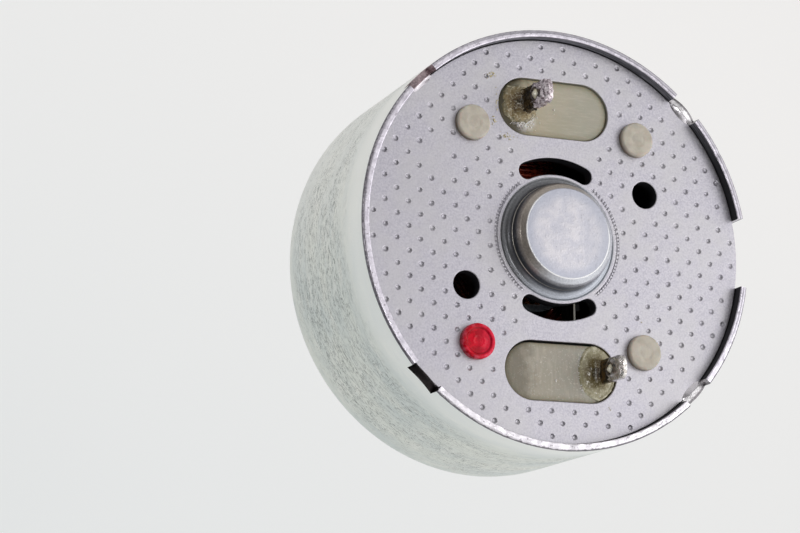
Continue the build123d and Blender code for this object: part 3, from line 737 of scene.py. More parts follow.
plate_finish = plate_steel()
boss_finish = boss_steel()
zinc_finish = zinc_steel()
rim_finish = rim_steel()
torn_finish = torn_steel()
lip_finish = burnished_steel()
inside_finish = dark_inside()
nylon_finish = nylon()
red_finish = lacquer()
leaf_finish = leaf_alloy()
copper_finish = enamelled_copper()
amber_finish = flux("amber_flux", "positive", 1.5,
                    ((102, 86, 42), (150, 142, 110), (200, 195, 168)), 0.55)
burnt_finish = flux("burnt_flux", "negative", 1.05,
                    ((98, 76, 40), (142, 124, 86), (120, 110, 80)), 0.4)
dull_tab_finish = tab_metal("burnt_solder_tab", "negative", (150, 136, 142), (246, 236, 240),
                            (70, 54, 30), (0.2, 0.42))
bright_tab_finish = tab_metal("bright_solder_tab", "positive", (172, 166, 160), (236, 233, 230),
                              (84, 62, 30), (0.12, 0.24))
shaft_finish = speckled("ground_shaft_steel", (176, 178, 182), (206, 207, 210), (4, 4, 22),
                        (0.16, 0.26), 0.003, metallic=1.0)
bronze_finish = speckled("sintered_bronze", (128, 96, 58), (172, 134, 86), 7.0,
                         (0.42, 0.6), 0.012, metallic=0.8)
tungsten_finish = speckled("sintered_tungsten", (116, 116, 120), (142, 142, 146), 5.0,
                           (0.4, 0.55), 0.012, metallic=0.9)
core_finish = speckled("core_sheet_steel", (92, 96, 104), (132, 136, 142), (1, 1, 14),
                       (0.35, 0.5), 0.01, metallic=0.85)
ferrite_finish = speckled("ferrite", (38, 38, 42), (64, 64, 68), 6.0, (0.5, 0.7), 0.01)
spring_finish = speckled("spring_steel", (150, 148, 146), (184, 182, 180), (2, 2, 9),
                         (0.25, 0.36), 0.004, metallic=1.0)
rubber_finish = speckled("damper_rubber", (30, 30, 32), (52, 52, 54), 5.0, (0.6, 0.8), 0.012)
insulator_finish = speckled("insulator_plastic", (16, 24, 22), (24, 34, 30), 3.0,
                            (0.4, 0.5), 0.008)
hub_finish = speckled("hub_plastic", (60, 34, 22), (84, 50, 34), 4.0, (0.35, 0.5), 0.008)
bar_finish = speckled("commutator_copper", (168, 96, 58), (208, 132, 86), (3, 3, 16),
                      (0.2, 0.34), 0.004, metallic=1.0)
varistor_finish = speckled("varistor_ceramic", (96, 104, 112), (132, 140, 148), 6.0,
                           (0.5, 0.7), 0.01)
fresh_solder_finish = speckled("fresh_solder", (168, 170, 174), (212, 213, 216), 4.0,
                               (0.2, 0.35), 0.02, metallic=0.95)
film_finish = speckled("washer_film", (196, 172, 96), (220, 200, 132), 2.0,
                       (0.3, 0.42), 0.004, coat_weight=0.3)
brass_finish = speckled("spacer_brass", (180, 148, 84), (214, 184, 116), (3, 3, 12),
                        (0.24, 0.36), 0.004, metallic=1.0)
bead_finish = speckled("cream_solder_bead", (240, 228, 190), (255, 252, 238), 3.5,
                       (0.2, 0.32), 0.02, metallic=0.3, coat_weight=0.8, coat_roughness=0.08)
frost_finish = speckled("flux_frost", (222, 216, 210), (253, 252, 250), 9.0, (0.3, 0.5), 0.006)
crumb_finish = speckled("flux_crumbs", (196, 182, 136), (238, 228, 192), 8.0, (0.3, 0.5), 0.006)


# ==== can ======================================================================================

LIP_REACH = {45: 0.28, 135: 0.24, 225: 0.08, 315: 0.28}
CRIMP_ANGLES = tuple(LIP_REACH)
CRIMP_HALF = 0.975
CRIMP_EAR_DEPTH = 0.66
CRIMP_MID_DEPTH = 0.43
LIP_HALF = 0.86
WIDE_HALF = 2.1
WIDE_DEPTH = 2.0
RIM_BEVEL = 0.16
INNER_BEVEL = 0.05
CUT_BEVEL = 0.03
CRIMP_TILT = 0.22
NICKS = [(270.4, 0.9, 0.07), (29.4, 0.7, 0.05), (231.0, 0.5, 0.04), (251.5, 0.6, 0.05),
         (284.0, 0.8, 0.06), (301.0, 0.5, 0.05), (96.0, 0.5, 0.03), (163.0, 0.6, 0.03)]
FRONT_BOSS_R = 3.1
FRONT_BUSH_R = 2.3
FRONT_HOLE_R = 1.5
FRONT_ROOF = 0.3
ZINC, RIM, TORN, LIP, INSIDE = range(5)


def along_rim(angle, middle):
    """Distance round the can's outside from one angle to another, in millimetres."""
    return math.radians((angle - middle + 180) % 360 - 180) * CAN_R


def nearest_crimp(angle):
    """Distance along the rim from the nearest crimp notch's middle."""
    return min((along_rim(angle, middle) for middle in CRIMP_ANGLES), key=abs)


def rim_cut(angle):
    """How the rim is cut at an angle: (depth, kind), where kind is None, wide or crimp."""
    if abs(along_rim(angle, 0)) < WIDE_HALF:
        return WIDE_DEPTH, "wide"
    offset = abs(nearest_crimp(angle)) / CRIMP_HALF
    if offset < 1:
        return CRIMP_MID_DEPTH + (CRIMP_EAR_DEPTH - CRIMP_MID_DEPTH) * offset ** 2, "crimp"
    return 0.0, None


def rim_roughness(angle, radius, kind):
    """Height of the scuffs and nicks on the rim's top."""
    place = (math.cos(math.radians(angle)) * radius, math.sin(math.radians(angle)) * radius, 0)
    if kind:
        return 0.012 * fuzz(place, 3.2) + 0.008 * fuzz(place, 9.0)
    scraped = blend_in(-place[1], 8.5, 10.5) * blend_in(place[0], -9.0, -5.0)
    height = (0.008 + 0.02 * scraped) * (fuzz(place, 2.3) + fuzz(place, 6.5) - 0.8)
    for middle, width, depth in NICKS:
        height -= depth * math.exp(-(along_rim(angle, middle) / (0.25 * width)) ** 2)
    return height


def rim_section(outer, inner, face):
    """The wall's top from outside to inside, round at both corners: (radius, drop, face kind)."""
    land = CAN_R - outer, RIM_INNER_R + inner
    points = [(CAN_R - outer * (1 - c), -outer * (1 - s), face) for c, s in quarter_turn(4)]
    points += [(land[0] + (land[1] - land[0]) * share, 0.0, face) for share in (0.2, 0.4, 0.6, 0.8)]
    points += [(RIM_INNER_R + inner * (1 - s), -inner * (1 - c), face) for c, s in quarter_turn(3)]
    return points


def lip_section(angle, level):
    """The face of a crimp lip, from the rim's inner edge down to the plate that it holds."""
    offset = nearest_crimp(angle) / LIP_HALF
    reach = LIP_REACH[45 + int(angle // 90) * 90] * math.sqrt(1 - offset ** 2)
    return [(RIM_INNER_R - 0.55 * reach, (level + Z_PLATE) / 2 + 0.02, LIP),
            (RIM_INNER_R - reach, Z_PLATE + 0.01, LIP),
            (RIM_INNER_R - reach, Z_PLATE + 0.005, INSIDE)]


def rim_profile(angle):
    """The top of the wall at one angle, from outside to inside: (radius, height, face kind)."""
    depth, kind = rim_cut(angle)
    outer, inner = (CUT_BEVEL, CUT_BEVEL) if kind else (RIM_BEVEL, INNER_BEVEL)
    tilt = CRIMP_TILT if kind == "crimp" and 90 < angle < 270 else 0.0
    profile = []
    for radius, drop, face in rim_section(outer, inner, TORN if kind == "crimp" else RIM):
        level = Z_RIM - depth + drop - tilt * blend_in(radius, RIM_INNER_R, CAN_R)
        profile.append((radius, min(level + rim_roughness(angle, radius, kind), Z_RIM), face))
    radius, level, _ = profile.pop()
    ledge = min(Z_PLATE_BACK, level - 0.04)
    if kind == "crimp" and abs(nearest_crimp(angle)) < LIP_HALF:
        profile += [(radius, level, LIP), *lip_section(angle, level)]
    else:
        profile.append((radius, level, INSIDE))
        profile += [(RIM_INNER_R, level + (ledge - level) * k, INSIDE) for k in (0.25, 0.5, 0.75)]
    profile += [(RIM_INNER_R, ledge, INSIDE), (CAN_INNER_R, ledge, INSIDE)]
    return profile


def can_angles():
    """Angles of the can's columns: even steps, with close pairs at the notches' ends."""
    cuts = [(0, WIDE_HALF, 0)] + [(middle, CRIMP_HALF, 18) for middle in CRIMP_ANGLES]
    angles = set(round(0.75 * k, 4) for k in range(480))
    for middle, half_width, inner_steps in cuts:
        half = math.degrees(half_width / CAN_R)
        angles = {a for a in angles if abs(abs((a - middle + 180) % 360 - 180) - half) > 0.2}
        for side in (-1, 1):
            angles |= {(middle + side * (half + gap)) % 360 for gap in (-0.03, 0.03)}
        angles |= {(middle + half * (2 * k / (inner_steps + 1) - 1)) % 360
                   for k in range(1, inner_steps + 1)}
    return sorted(angles)


def build_can():
    """The drawn can, with its front boss, notched rim and crimp lips."""
    outside = rounded([
        (FRONT_HOLE_R, Z_FRONT_BOSS, 0), (FRONT_BOSS_R, Z_FRONT_BOSS, 0.35),
        (FRONT_BOSS_R, Z_FACE, 0.4), (CAN_R, Z_FACE, 1.0), (CAN_R, 0, 0), (CAN_R, 4.0, 0)],
        8, closed=False)
    inside = rounded([
        (CAN_INNER_R, 2.0, 0), (CAN_INNER_R, Z_FACE + CAN_WALL, 0.3),
        (FRONT_BUSH_R, Z_FACE + CAN_WALL, 0), (FRONT_BUSH_R, Z_FRONT_BOSS + FRONT_ROOF, 0),
        (FRONT_HOLE_R, Z_FRONT_BOSS + FRONT_ROOF, 0)], 4, closed=False)
    bm = bmesh.new()
    columns = []
    for angle in can_angles():
        c, s = math.cos(math.radians(angle)), math.sin(math.radians(angle))
        profile = [(r, z, ZINC) for r, z in outside] + rim_profile(angle)
        profile += [(r, z, INSIDE) for r, z in inside]
        columns.append([(bm.verts.new((r * c, r * s, z)), kind) for r, z, kind in profile])
    for first, second in zip(columns, columns[1:] + columns[:1]):
        for k in range(len(first)):
            n = (k + 1) % len(first)
            corners = [first[k][0], first[n][0], second[n][0], second[k][0]]
            add_face(bm, corners, max(first[k][1], second[k][1]))
    new_piece("can_shell", bm, [zinc_finish, rim_finish, torn_finish, lip_finish, inside_finish],
              "stator", "zinc_plated_steel", ["can"])


# ==== end plate ================================================================================

PITCH = 1.0
DIMPLE_FIELD = (4.1, 11.45)
BLANK_DIMPLES = {(-10, 7), (-8, 7), (-11, 6), (-10, 5)}
DIMPLE_RINGS = [(1.3, 0.0), (1.08, -0.006), (0.92, -0.028), (0.66, -0.062), (0.3, -0.075)]
DIMPLE_R = 0.14
DIMPLE_DEPTH = 0.078
DIMPLE_POINTS = 16
EDGE = 0.05
BOSS_FOOT_R = 3.6
COIN_RINGS = [(3.75, 0.0), (3.79, -0.012), (3.83, 0.0), (3.87, 0.02), (3.91, 0.0), (3.95, -0.01)]
COIN_MARGIN = 0.03
COIN_END_GAP = KIDNEY_HALF_ANGLE + math.degrees(0.68 / KIDNEY_R)
COIN_STEPS = 330
BEAD_COUNT = 112


def window_distance(x, y):
    """How far a point lies outside the nearer window."""
    overhang = max(abs(x) - WINDOW_REACH, 0)
    return math.hypot(overhang, abs(y) - WINDOW_Y) - WINDOW[1] / 2


def kidney_distance(x, y):
    """How far a point lies outside the nearer kidney slot."""
    angle = math.degrees(math.atan2(abs(x), abs(y)))
    end = math.radians(min(angle, KIDNEY_HALF_ANGLE))
    middle = (KIDNEY_R * math.sin(end), KIDNEY_R * math.cos(end))
    return math.dist((abs(x), abs(y)), middle) - KIDNEY_WIDTH / 2


def hole_distance(x, y):
    """How far a point lies outside the nearest round hole."""
    return min(math.dist((x, y), hole) for hole in HOLES) - HOLE_R


def stake_distance(x, y):
    """How far a point lies from the nearest stake's middle."""
    return min(math.dist((x, y), stake) for stake in STAKES)


def dimple_places():
    """Where the punch left dimples: a square grid that stands on its corner."""
    half_step = PITCH / math.sqrt(2)
    places = []
    for column in range(-17, 18):
        for row in range(-17, 18):
            x, y = column * half_step, row * half_step
            beside_slots = abs(x) < 2.5 and abs(x) < abs(y) < WINDOW_Y - WINDOW[1] / 2
            if ((column + row) % 2 and (column, row) not in BLANK_DIMPLES and not beside_slots
                    and DIMPLE_FIELD[0] < math.hypot(x, y) < DIMPLE_FIELD[1]
                    and window_distance(x, y) > 0.45 and kidney_distance(x, y) > 0.35
                    and stake_distance(x, y) > STAKE_R + 0.25 and hole_distance(x, y) > 0.3):
                places.append((x, y))
    return places


def add_dimples(bm, loops):
    """Add each dimple's bowl to the mesh, and its outline to the plate's loops."""
    draws = random.Random(4)
    dimples = []
    for x, y in dimple_places():
        size = DIMPLE_R * draws.uniform(0.93, 1.1)
        depth = draws.uniform(0.85, 1.2)
        x, y = x + draws.uniform(-0.02, 0.02), y + draws.uniform(-0.02, 0.02)
        outer = size * DIMPLE_RINGS[0][0]
        dimples.append((x, y, outer))
        loops.append((circle(outer, DIMPLE_POINTS, (x, y)), True))
        rings = [ring(bm, circle(size * share, DIMPLE_POINTS, (x, y)), Z_PLATE + level * depth)
                 for share, level in DIMPLE_RINGS]
        rings.append([bm.verts.new((x, y, Z_PLATE - DIMPLE_DEPTH * depth))])
        join_rings(bm, rings)
    return dimples


def coin_wave(angle):
    """Where an angle falls in the row of beads round the boss, from -1 to 1."""
    return math.cos(BEAD_COUNT * angle + 2.5 * noise.noise(Vector((angle * 5, 0, 0))))


def add_coin_ring(bm, loops):
    """The coined ring, in two strips that stop at the kidney slots, and the strips' outlines."""
    flat_edges = (COIN_RINGS[0][0] - COIN_MARGIN, 0.0), (COIN_RINGS[-1][0] + COIN_MARGIN, 0.0)
    profile = [flat_edges[0], *COIN_RINGS, flat_edges[1]]
    for middle in (0, 180):
        start, end = middle - 90 + COIN_END_GAP, middle + 90 - COIN_END_GAP
        rows = []
        for number, (radius, rest) in enumerate(profile):
            row = []
            inside = 1 < number < len(profile) - 2
            for k, (x, y) in enumerate(arc(radius, start, end, COIN_STEPS)):
                fade = blend_in(min(k, COIN_STEPS - 1 - k), 0, 8)
                wave = coin_wave(math.atan2(y, x)) * fade * inside
                shift = 1 + 0.024 * wave / radius
                height = rest * fade - 0.022 * (1 + wave) * fade * inside
                row.append(bm.verts.new((x * shift, y * shift, Z_PLATE + height)))
            rows.append(row)
        for low, high in zip(rows, rows[1:]):
            for k in range(COIN_STEPS - 1):
                add_face(bm, [low[k], low[k + 1], high[k + 1], high[k]])
        edge = rows[0] + [row[-1] for row in rows[1:-1]] + rows[-1][::-1]
        edge += [row[0] for row in rows[-2:0:-1]]
        loops.append(([tuple(v.co.xy) for v in edge], True))


def in_coin_ring(x, y):
    """Whether a point lies in one of the coined ring's two strips."""
    low, high = COIN_RINGS[0][0] - COIN_MARGIN, COIN_RINGS[-1][0] + COIN_MARGIN
    beside = math.degrees(math.atan2(abs(y), abs(x))) < 90 - COIN_END_GAP
    return beside and low < math.hypot(x, y) < high


def on_plate(x, y, grow):
    """Whether a point is further than a distance from each opening."""
    return (window_distance(x, y) > grow and kidney_distance(x, y) > grow
            and hole_distance(x, y) > grow and stake_distance(x, y) > POST_HOLE_R + grow)


def plate_openings():
    """The plate's openings and its rim, each as a function from growth to outline."""
    openings = [lambda grow, y=y: obround((0, y), *WINDOW, grow) for y in (WINDOW_Y, -WINDOW_Y)]
    openings += [lambda grow, m=m: kidney(m, grow) for m in (90, 270)]
    openings += [lambda grow, h=h: circle(HOLE_R + grow, 48, h) for h in HOLES]
    openings += [lambda grow, p=p: circle(POST_HOLE_R + grow, 40, p) for p in STAKES]
    openings.append(lambda grow: circle(PLATE_R - grow, 2 * SEGMENTS))
    return openings


def add_plate_face(bm, openings):
    """The plate's top: flat between its openings, coined ring and dimples."""
    loops = [(outline(EDGE), True) for outline in openings]
    loops.append((circle(BOSS_FOOT_R, SEGMENTS), True))
    add_coin_ring(bm, loops)
    dimples = add_dimples(bm, loops)

    def on_face(x, y):
        in_dimple = any(abs(x - u) < r and math.dist((x, y), (u, v)) < r * 0.98
                        for u, v, r in dimples)
        beyond_boss = math.hypot(x, y) > BOSS_FOOT_R * JUST_INSIDE
        return on_plate(x, y, EDGE) and beyond_boss and not in_dimple and not in_coin_ring(x, y)

    add_sheet(bm, flat_sheet(loops, on_face), Z_PLATE)


def add_plate_back(bm, openings):
    """The plate's flat back, round the rear bearing."""
    def on_back(x, y):
        return on_plate(x, y, 0) and math.hypot(x, y) > REAR_BUSH_R * JUST_INSIDE

    loops = [(outline(0.0), True) for outline in openings]
    loops.append((circle(REAR_BUSH_R, SEGMENTS), True))
    add_sheet(bm, flat_sheet(loops, on_back), Z_PLATE_BACK)


def add_opening_walls(bm, outline):
    """The rounded lip and wall of one opening through the plate."""
    rings = [ring(bm, outline(EDGE * (1 - s)), Z_PLATE - EDGE * (1 - c)) for c, s in quarter_turn(3)]
    join_rings(bm, rings)
    bridge(bm, rings[-1], ring(bm, outline(0.0), Z_PLATE_BACK), 2)


def add_boss(bm):
    """The drawn boss, with a scored line round its foot and a ridge on its wall, and its hollow."""
    foot_r = BOSS_R + 0.02
    outside = rounded([
        (BOSS_FOOT_R, Z_PLATE, 0), (3.53, Z_PLATE, 0), (3.50, Z_PLATE - 0.03, 0.02),
        (3.47, Z_PLATE, 0), (foot_r, Z_PLATE, 0.36), (foot_r, Z_PLATE + 0.40, 0.012),
        (BOSS_R, Z_PLATE + 0.43, 0.02), (BOSS_R, Z_BOSS - 0.50, 0.3), (2.90, Z_BOSS - 0.22, 0.25),
        (BOSS_TOP_R, Z_BOSS, 0.05), (0, Z_BOSS - 0.015, 0)], 10, closed=False)
    lathe(bm, outside, closed=False, material=1)
    hollow = [(0, Z_BOSS_ROOF), (REAR_BUSH_R, Z_BOSS_ROOF), (REAR_BUSH_R, Z_PLATE_BACK)]
    lathe(bm, hollow, closed=False)


def build_plate():
    """The end plate: dimpled face, openings with rounded edges, coined ring and drawn boss."""
    bm = bmesh.new()
    openings = plate_openings()
    add_plate_face(bm, openings)
    add_plate_back(bm, openings)
    for outline in openings:
        add_opening_walls(bm, outline)
    add_boss(bm)
    new_piece("rear_end_plate", bm, [plate_finish, boss_finish, inside_finish], "stator",
              "plate_steel", ["end_plate"], sharp=50)


# ==== brush base, stake heads and polarity mark ================================================

BASE_OPENING_R = 5.2
HOLE_CLEARANCE = 0.25
PAD_PROFILE = [(0, 0.0), (-0.03, 0.06), (-0.1, 0.09), (-0.3, 0.1), (-0.8, 0.094)]
PADS = [(0.02, WINDOW_Y + 0.01, 0.05), (-0.02, -WINDOW_Y - 0.04, 0.10)]


def in_base(x, y):
    """Whether a point lies in the base's ring."""
    beyond_opening = math.hypot(x, y) > BASE_OPENING_R * JUST_INSIDE
    return beyond_opening and hole_distance(x, y) > HOLE_CLEARANCE * JUST_INSIDE


def add_base_ring(bm, low, radius):
    """The base's ring, open in the middle and round each of the plate's holes."""
    outlines = [circle(radius, 2 * SEGMENTS), circle(BASE_OPENING_R, SEGMENTS)]
    outlines += [circle(HOLE_R + HOLE_CLEARANCE, 40, hole) for hole in HOLES]
    sheet = flat_sheet([(outline, True) for outline in outlines], in_base)
    for level in (low, Z_PLATE_BACK):
        add_sheet(bm, sheet, level)
    for outline in outlines:
        bridge(bm, ring(bm, outline, low), ring(bm, outline, Z_PLATE_BACK))
    bmesh.ops.remove_doubles(bm, verts=bm.verts, dist=WELD)


def add_pad(bm, low, x, y, gap):
    """One pad in its window, smaller than the window by a gap and softly rounded on top."""
    def outline(grow):
        return obround((x, y), WINDOW[0] - gap, WINDOW[1] - gap, grow, 40)

    rings = [ring(bm, outline(0), low)]
    rings += [ring(bm, outline(grow), Z_PAD + level) for grow, level in PAD_PROFILE]
    join_rings(bm, rings)
    add_face(bm, rings[-1])
    add_face(bm, rings[0])


def add_head(bm, low, place, seed):
    """One formed stake head and its post; the one under the lacquer is a little smaller."""
    shrink = 0.1 if place == POLARITY_STAKE else 0
    top = Z_STAKE - shrink
    head_r = STAKE_R - shrink
    under = Z_PLATE - 0.01
    profile = rounded([
        (0, low, 0), (POST_R, low, 0), (POST_R, under, 0), (head_r, under, 0),
        (head_r, top - 0.01, 0.14), (0.5, top, 0.1), (0.36, top - 0.015, 0.05),
        (0.22, top - 0.008, 0.05), (0.0, top - 0.012, 0)], 6, closed=False)
    rings = lathe(bm, profile, 56, closed=False, centre=place)
    for vert in (v for one in rings for v in one):
        if vert.co.z > Z_PLATE:
            out = Vector((vert.co.x - place[0], vert.co.y - place[1], 0))
            wave = fuzz(vert.co, 1.1, seed)
            vert.co -= out * 0.035 * abs(wave) / STAKE_R * out.length
            vert.co.z -= 0.012 * abs(fuzz(vert.co, 2.4, seed))


def build_base():
    """The nylon base: a ring under the plate, a pad in each window and four formed heads."""
    bm = bmesh.new()
    base_low, base_high = span("brush_base")
    add_base_ring(bm, base_low.z, base_high.x)
    for x, y, gap in PADS:
        add_pad(bm, base_low.z, x, y, gap)
    draws = random.Random(9)
    for place in STAKES:
        add_head(bm, base_low.z, place, draws.uniform(0, 50))
    new_piece("brush_base_moulding", bm, [nylon_finish], "stator", "base_nylon", ["brush_base"],
              weld=False)


def build_mark():
    """The red lacquer over one stake head: a skin that thickens into a dished, ringed top."""
    bm = bmesh.new()
    outer_r, inner_r = STAKE_R - 0.02, STAKE_R - 0.08
    top = Z_STAKE + LACQUER
    profile = rounded([
        (outer_r, Z_PLATE, 0), (outer_r, top, 0.15), (0.80, top, 0.06), (0.70, top - 0.075, 0.05),
        (0.42, top - 0.07, 0), (0.34, top - 0.05, 0.03), (0.24, top - 0.07, 0.03),
        (0, top - 0.075, 0), (0, Z_STAKE - 0.12, 0), (inner_r, Z_STAKE - 0.18, 0),
        (inner_r, Z_PLATE, 0)], 7, closed=False)
    rings = lathe(bm, profile, 72, centre=POLARITY_STAKE)
    for vert in (v for one in rings for v in one):
        if vert.co.z > Z_PLATE + 0.1:
            vert.co.z -= 0.03 * abs(fuzz(vert.co, 1.7, 3.0))
    new_piece("polarity_lacquer", bm, [red_finish], "stator", "red_lacquer", ["polarity_mark"])


# ==== terminals, solder and flux ===============================================================

def eye_share(u, v):
    """1 on the edge of the tab's eye, less inside it and more outside."""
    return math.hypot(u / EYE[0], (v - EYE_LEVEL) / EYE[1])


def tab_section(v, coat):
    """Half width and half thickness of a solder-coated tab at a height along it."""
    corner = 0.45
    over = v - (TAB_TOP - corner)
    half_width = TAB_WIDTH / 2 + 0.5 * coat
    if over > 0:
        half_width -= corner - math.sqrt(max(corner ** 2 - over ** 2, 0))
    half_thick = TAB_THICKNESS / 2 + coat * (0.5 + blend_in(v, 0.3, EYE_LEVEL))
    half_thick *= 1 - 0.5 * blend_in(v, TAB_TOP - 0.3, TAB_TOP)
    return half_width, half_thick


def add_leg(bm, at, low):
    """The tab's leg, which passes down through the pad."""
    half_thick, half_width, corner = TAB_THICKNESS / 2, TAB_WIDTH / 2, 0.04
    outline = rounded([(-half_thick, -half_width, corner), (half_thick, -half_width, corner),
                       (half_thick, half_width, corner), (-half_thick, half_width, corner)])
    rings = [ring(bm, [(at[0] + x, at[1] + y) for x, y in outline], z) for z in (low, Z_PAD - 0.1)]
    bridge(bm, *rings)
    for one in rings:
        add_face(bm, one)


def build_tab(polarity, finish, coat, rough, crater, seed):
    """A solder tab with an uneven coat of solder, rounded corners and a hollow round its eye."""
    origin, across, up, out = tab_axes(polarity)
    bm = bmesh.new()
    rows, count, squareness, foot = 64, 72, 0.45, -0.3
    rings = []
    for row in range(rows + 1):
        v = foot + (TAB_TOP + 0.28) * row / rows
        half_width, half_thick = tab_section(v, coat)
        points = []
        for c, s in circle(1, count):
            u = half_width * math.copysign(abs(c) ** squareness, c)
            w = half_thick * math.copysign(abs(s) ** squareness, s)
            place = (u + seed, v, w)
            waves = 0.7 * fuzz(place, 2.2) + 0.45 * fuzz(place, 5.0) + 0.25 * fuzz(place, 11.0)
            lump = rough * waves
            hollow = 0.15 * math.exp(-((eye_share(u, v) - 1.15) / 0.22) ** 2)
            hollow += crater * math.exp(-((u / 0.28) ** 2 + ((v - 1.05) / 0.24) ** 2))
            w += math.copysign(lump - hollow * abs(s), s)
            u += math.copysign(0.6 * lump, c)
            points.append(bm.verts.new(origin + across * u + up * v + out * w))
        rings.append(points)
    join_rings(bm, rings)
    add_face(bm, rings[-1])
    add_face(bm, rings[0])
    for vert in bm.verts:
        vert.co.z = min(vert.co.z, BOX_TOP)
    node = f"terminal_{polarity}"
    add_leg(bm, TERMINAL_PLACES[polarity]["at"], span(node)[0].z)
    new_piece(f"terminal_tab_{polarity}", bm, [finish], "stator", "tinned_brass", [node], weld=False)


def build_bead(polarity, size, seed):
    """The solder that fills a tab's eye, domed on both sides."""
    origin, across, up, out = tab_axes(polarity)
    bm = bmesh.new()
    rows, count = 16, 32
    rings = []
    for row in range(rows + 1):
        tilt = math.pi * row / rows
        points = []
        for c, s in circle(1, count if 0 < row < rows else 1):
            u = size * EYE[0] * math.sin(tilt) * c
            v = size * EYE[1] * math.sin(tilt) * s + EYE_LEVEL
            w = 0.43 * math.cos(tilt) * (1 + 0.2 * fuzz((u, v, seed), 4.0))
            points.append(bm.verts.new(origin + across * u + up * v + out * w))
        rings.append(points)
    join_rings(bm, rings)
    new_piece(f"solder_bead_{polarity}", bm, [bead_finish], "stator", "solder",
              [f"solder_{polarity}"], weld=False)


def build_flux(polarity, radius, stretch, mound, lip, ragged, finish, seed):
    """Set flux on the pad round a tab's foot: a raised rim, and fillets up the tab and the wall."""
    at, lean = TERMINAL_PLACES[polarity]["at"], TERMINAL_PLACES[polarity]["lean"]

    def reach(c, s):
        """How far the flux runs in one direction, short of the window's wall."""
        edge = radius * (1 + ragged * (fuzz((c, s, seed), 1.6) + 0.5 * fuzz((c, s, seed), 4.0)))
        while window_distance(at[0] + c * edge, at[1] + stretch * s * edge) > -0.05:
            edge *= 0.98
        return edge

    def thickness(x, y, share):
        """Thickness of the flux at a place that is a share of the way to its edge."""
        raised_rim = lip * math.exp(-((share - 0.93) / 0.04) ** 2)
        dome = mound * math.sqrt(max(1 - share ** 2, 0)) + raised_rim
        from_tab = math.hypot(max(abs(x) - TAB_THICKNESS / 2, 0), max(abs(y) - TAB_WIDTH / 2, 0))
        from_wall = -window_distance(at[0] + x, at[1] + y)
        climb = 0.55 * math.exp(-from_tab / 0.16) + 0.13 * math.exp(-from_wall / 0.07)
        waves = fuzz((x, y, seed), 3.0) + 6 * ragged * fuzz((x, y, seed), 7.0) - ragged
        lump = (0.3 + share) * mound * 0.5 * waves
        return max(dome + climb + lump * (1 - share ** 4), 0.004)

    bm = bmesh.new()
    rings = []
    steps, count = 26, 96
    for step in range(steps + 1):
        share = step / steps
        points = []
        for c, s in circle(1, count if step else 1):
            edge = reach(c, s)
            x, y = c * edge * share, stretch * s * edge * share
            height = thickness(x, y, share)
            spot = (at[0] + x + lean[0] * height, at[1] + y, PAD_TOP + height - 0.01)
            points.append(bm.verts.new(spot))
        rings.append(points)
    join_rings(bm, rings)
    bottom = ring(bm, [v.co.xy for v in rings[-1]], PAD_TOP - 0.06)
    bridge(bm, rings[-1], bottom)
    add_face(bm, bottom)
    new_piece(f"flux_{polarity}", bm, [finish], "stator", "solder", weld=False, sharp=70)


def build_crumbs(name, clusters, finish, seed, level):
    """Loose grains: clusters of (x, y, spread x, spread y, count, smallest, largest)."""
    draws = random.Random(seed)
    bm = bmesh.new()
    for x, y, spread_x, spread_y, count, small, large in clusters:
        for _ in range(count):
            size = draws.uniform(small, large)
            at = (x + draws.gauss(0, spread_x), y + draws.gauss(0, spread_y))
            turn = Euler([draws.uniform(0, 6) for _ in range(3)]).to_matrix().to_4x4()
            place = Matrix.Translation((*at, level + size * 0.3))
            stretch = Matrix.Diagonal((1, draws.uniform(0.6, 1), draws.uniform(0.4, 0.8), 1))
            shape = place @ turn @ stretch
            made = bmesh.ops.create_icosphere(bm, subdivisions=2, radius=size, matrix=shape)
            middle = Vector((*at, level + size * 0.3))
            for vert in made["verts"]:
                vert.co = middle + (vert.co - middle) * (1 + 0.45 * fuzz(vert.co, 0.9 / size, seed))
    new_piece(name, bm, [finish], "stator", "solder", weld=False, sharp=30)


# ==== rotor ====================================================================================

POLES = 3
ROTOR_PHASE = 90.0
WIRE_R = 0.15


def build_winding(pole):
    """One coil: rows of round wire laid side by side about a tooth, in two layers."""
    low, high = span(f"winding_{pole}")
    angle = math.radians(ROTOR_PHASE + (pole - 1) * 360 / POLES)
    outward = Vector((math.cos(angle), math.sin(angle), 0))
    sideways = Vector((-math.sin(angle), math.cos(angle), 0))
    middle = (low.z + high.z) / 2
    first_r, last_r, half_width = 2.9, 6.6, 2.55
    half_height = (high.z - low.z) / 2
    turns = int((last_r - first_r) / (2 * WIRE_R))
    bm = bmesh.new()
    for layer in range(3):
        inset = WIRE_R + layer * 1.75 * WIRE_R
        w, h = half_width - inset, half_height - inset
        corner = 0.9 - inset * 0.9
        loop = rounded([(-w, -h, corner), (w, -h, corner), (w, h, corner), (-w, h, corner)], 5)
        for turn in range(turns - layer % 2):
            at_r = first_r + WIRE_R + 2 * WIRE_R * (turn + 0.5 * (layer % 2))
            rings = []
            for a, b in loop:
                spot = outward * at_r + sideways * a + Vector((0, 0, middle + b))
                away = (sideways * a / w + Vector((0, 0, b / h))).normalized()
                rings.append([bm.verts.new(spot + WIRE_R * (outward * c + away * s))
                              for c, s in circle(1, 8)])
            join_rings(bm, rings, closed=True)
    new_piece(f"wire_coil_{pole}", bm, [copper_finish], "rotor", "enamelled_copper",
              [f"winding_{pole}"], weld=False, sharp=80)


def turned(name, node, body, slot, finish, corners, steps=4):
    """A turned piece from its profile's (radius, height, corner radius)."""
    bm = bmesh.new()
    lathe(bm, rounded(corners, steps), 96)
    new_piece(name, bm, [finish], body, slot, [node])


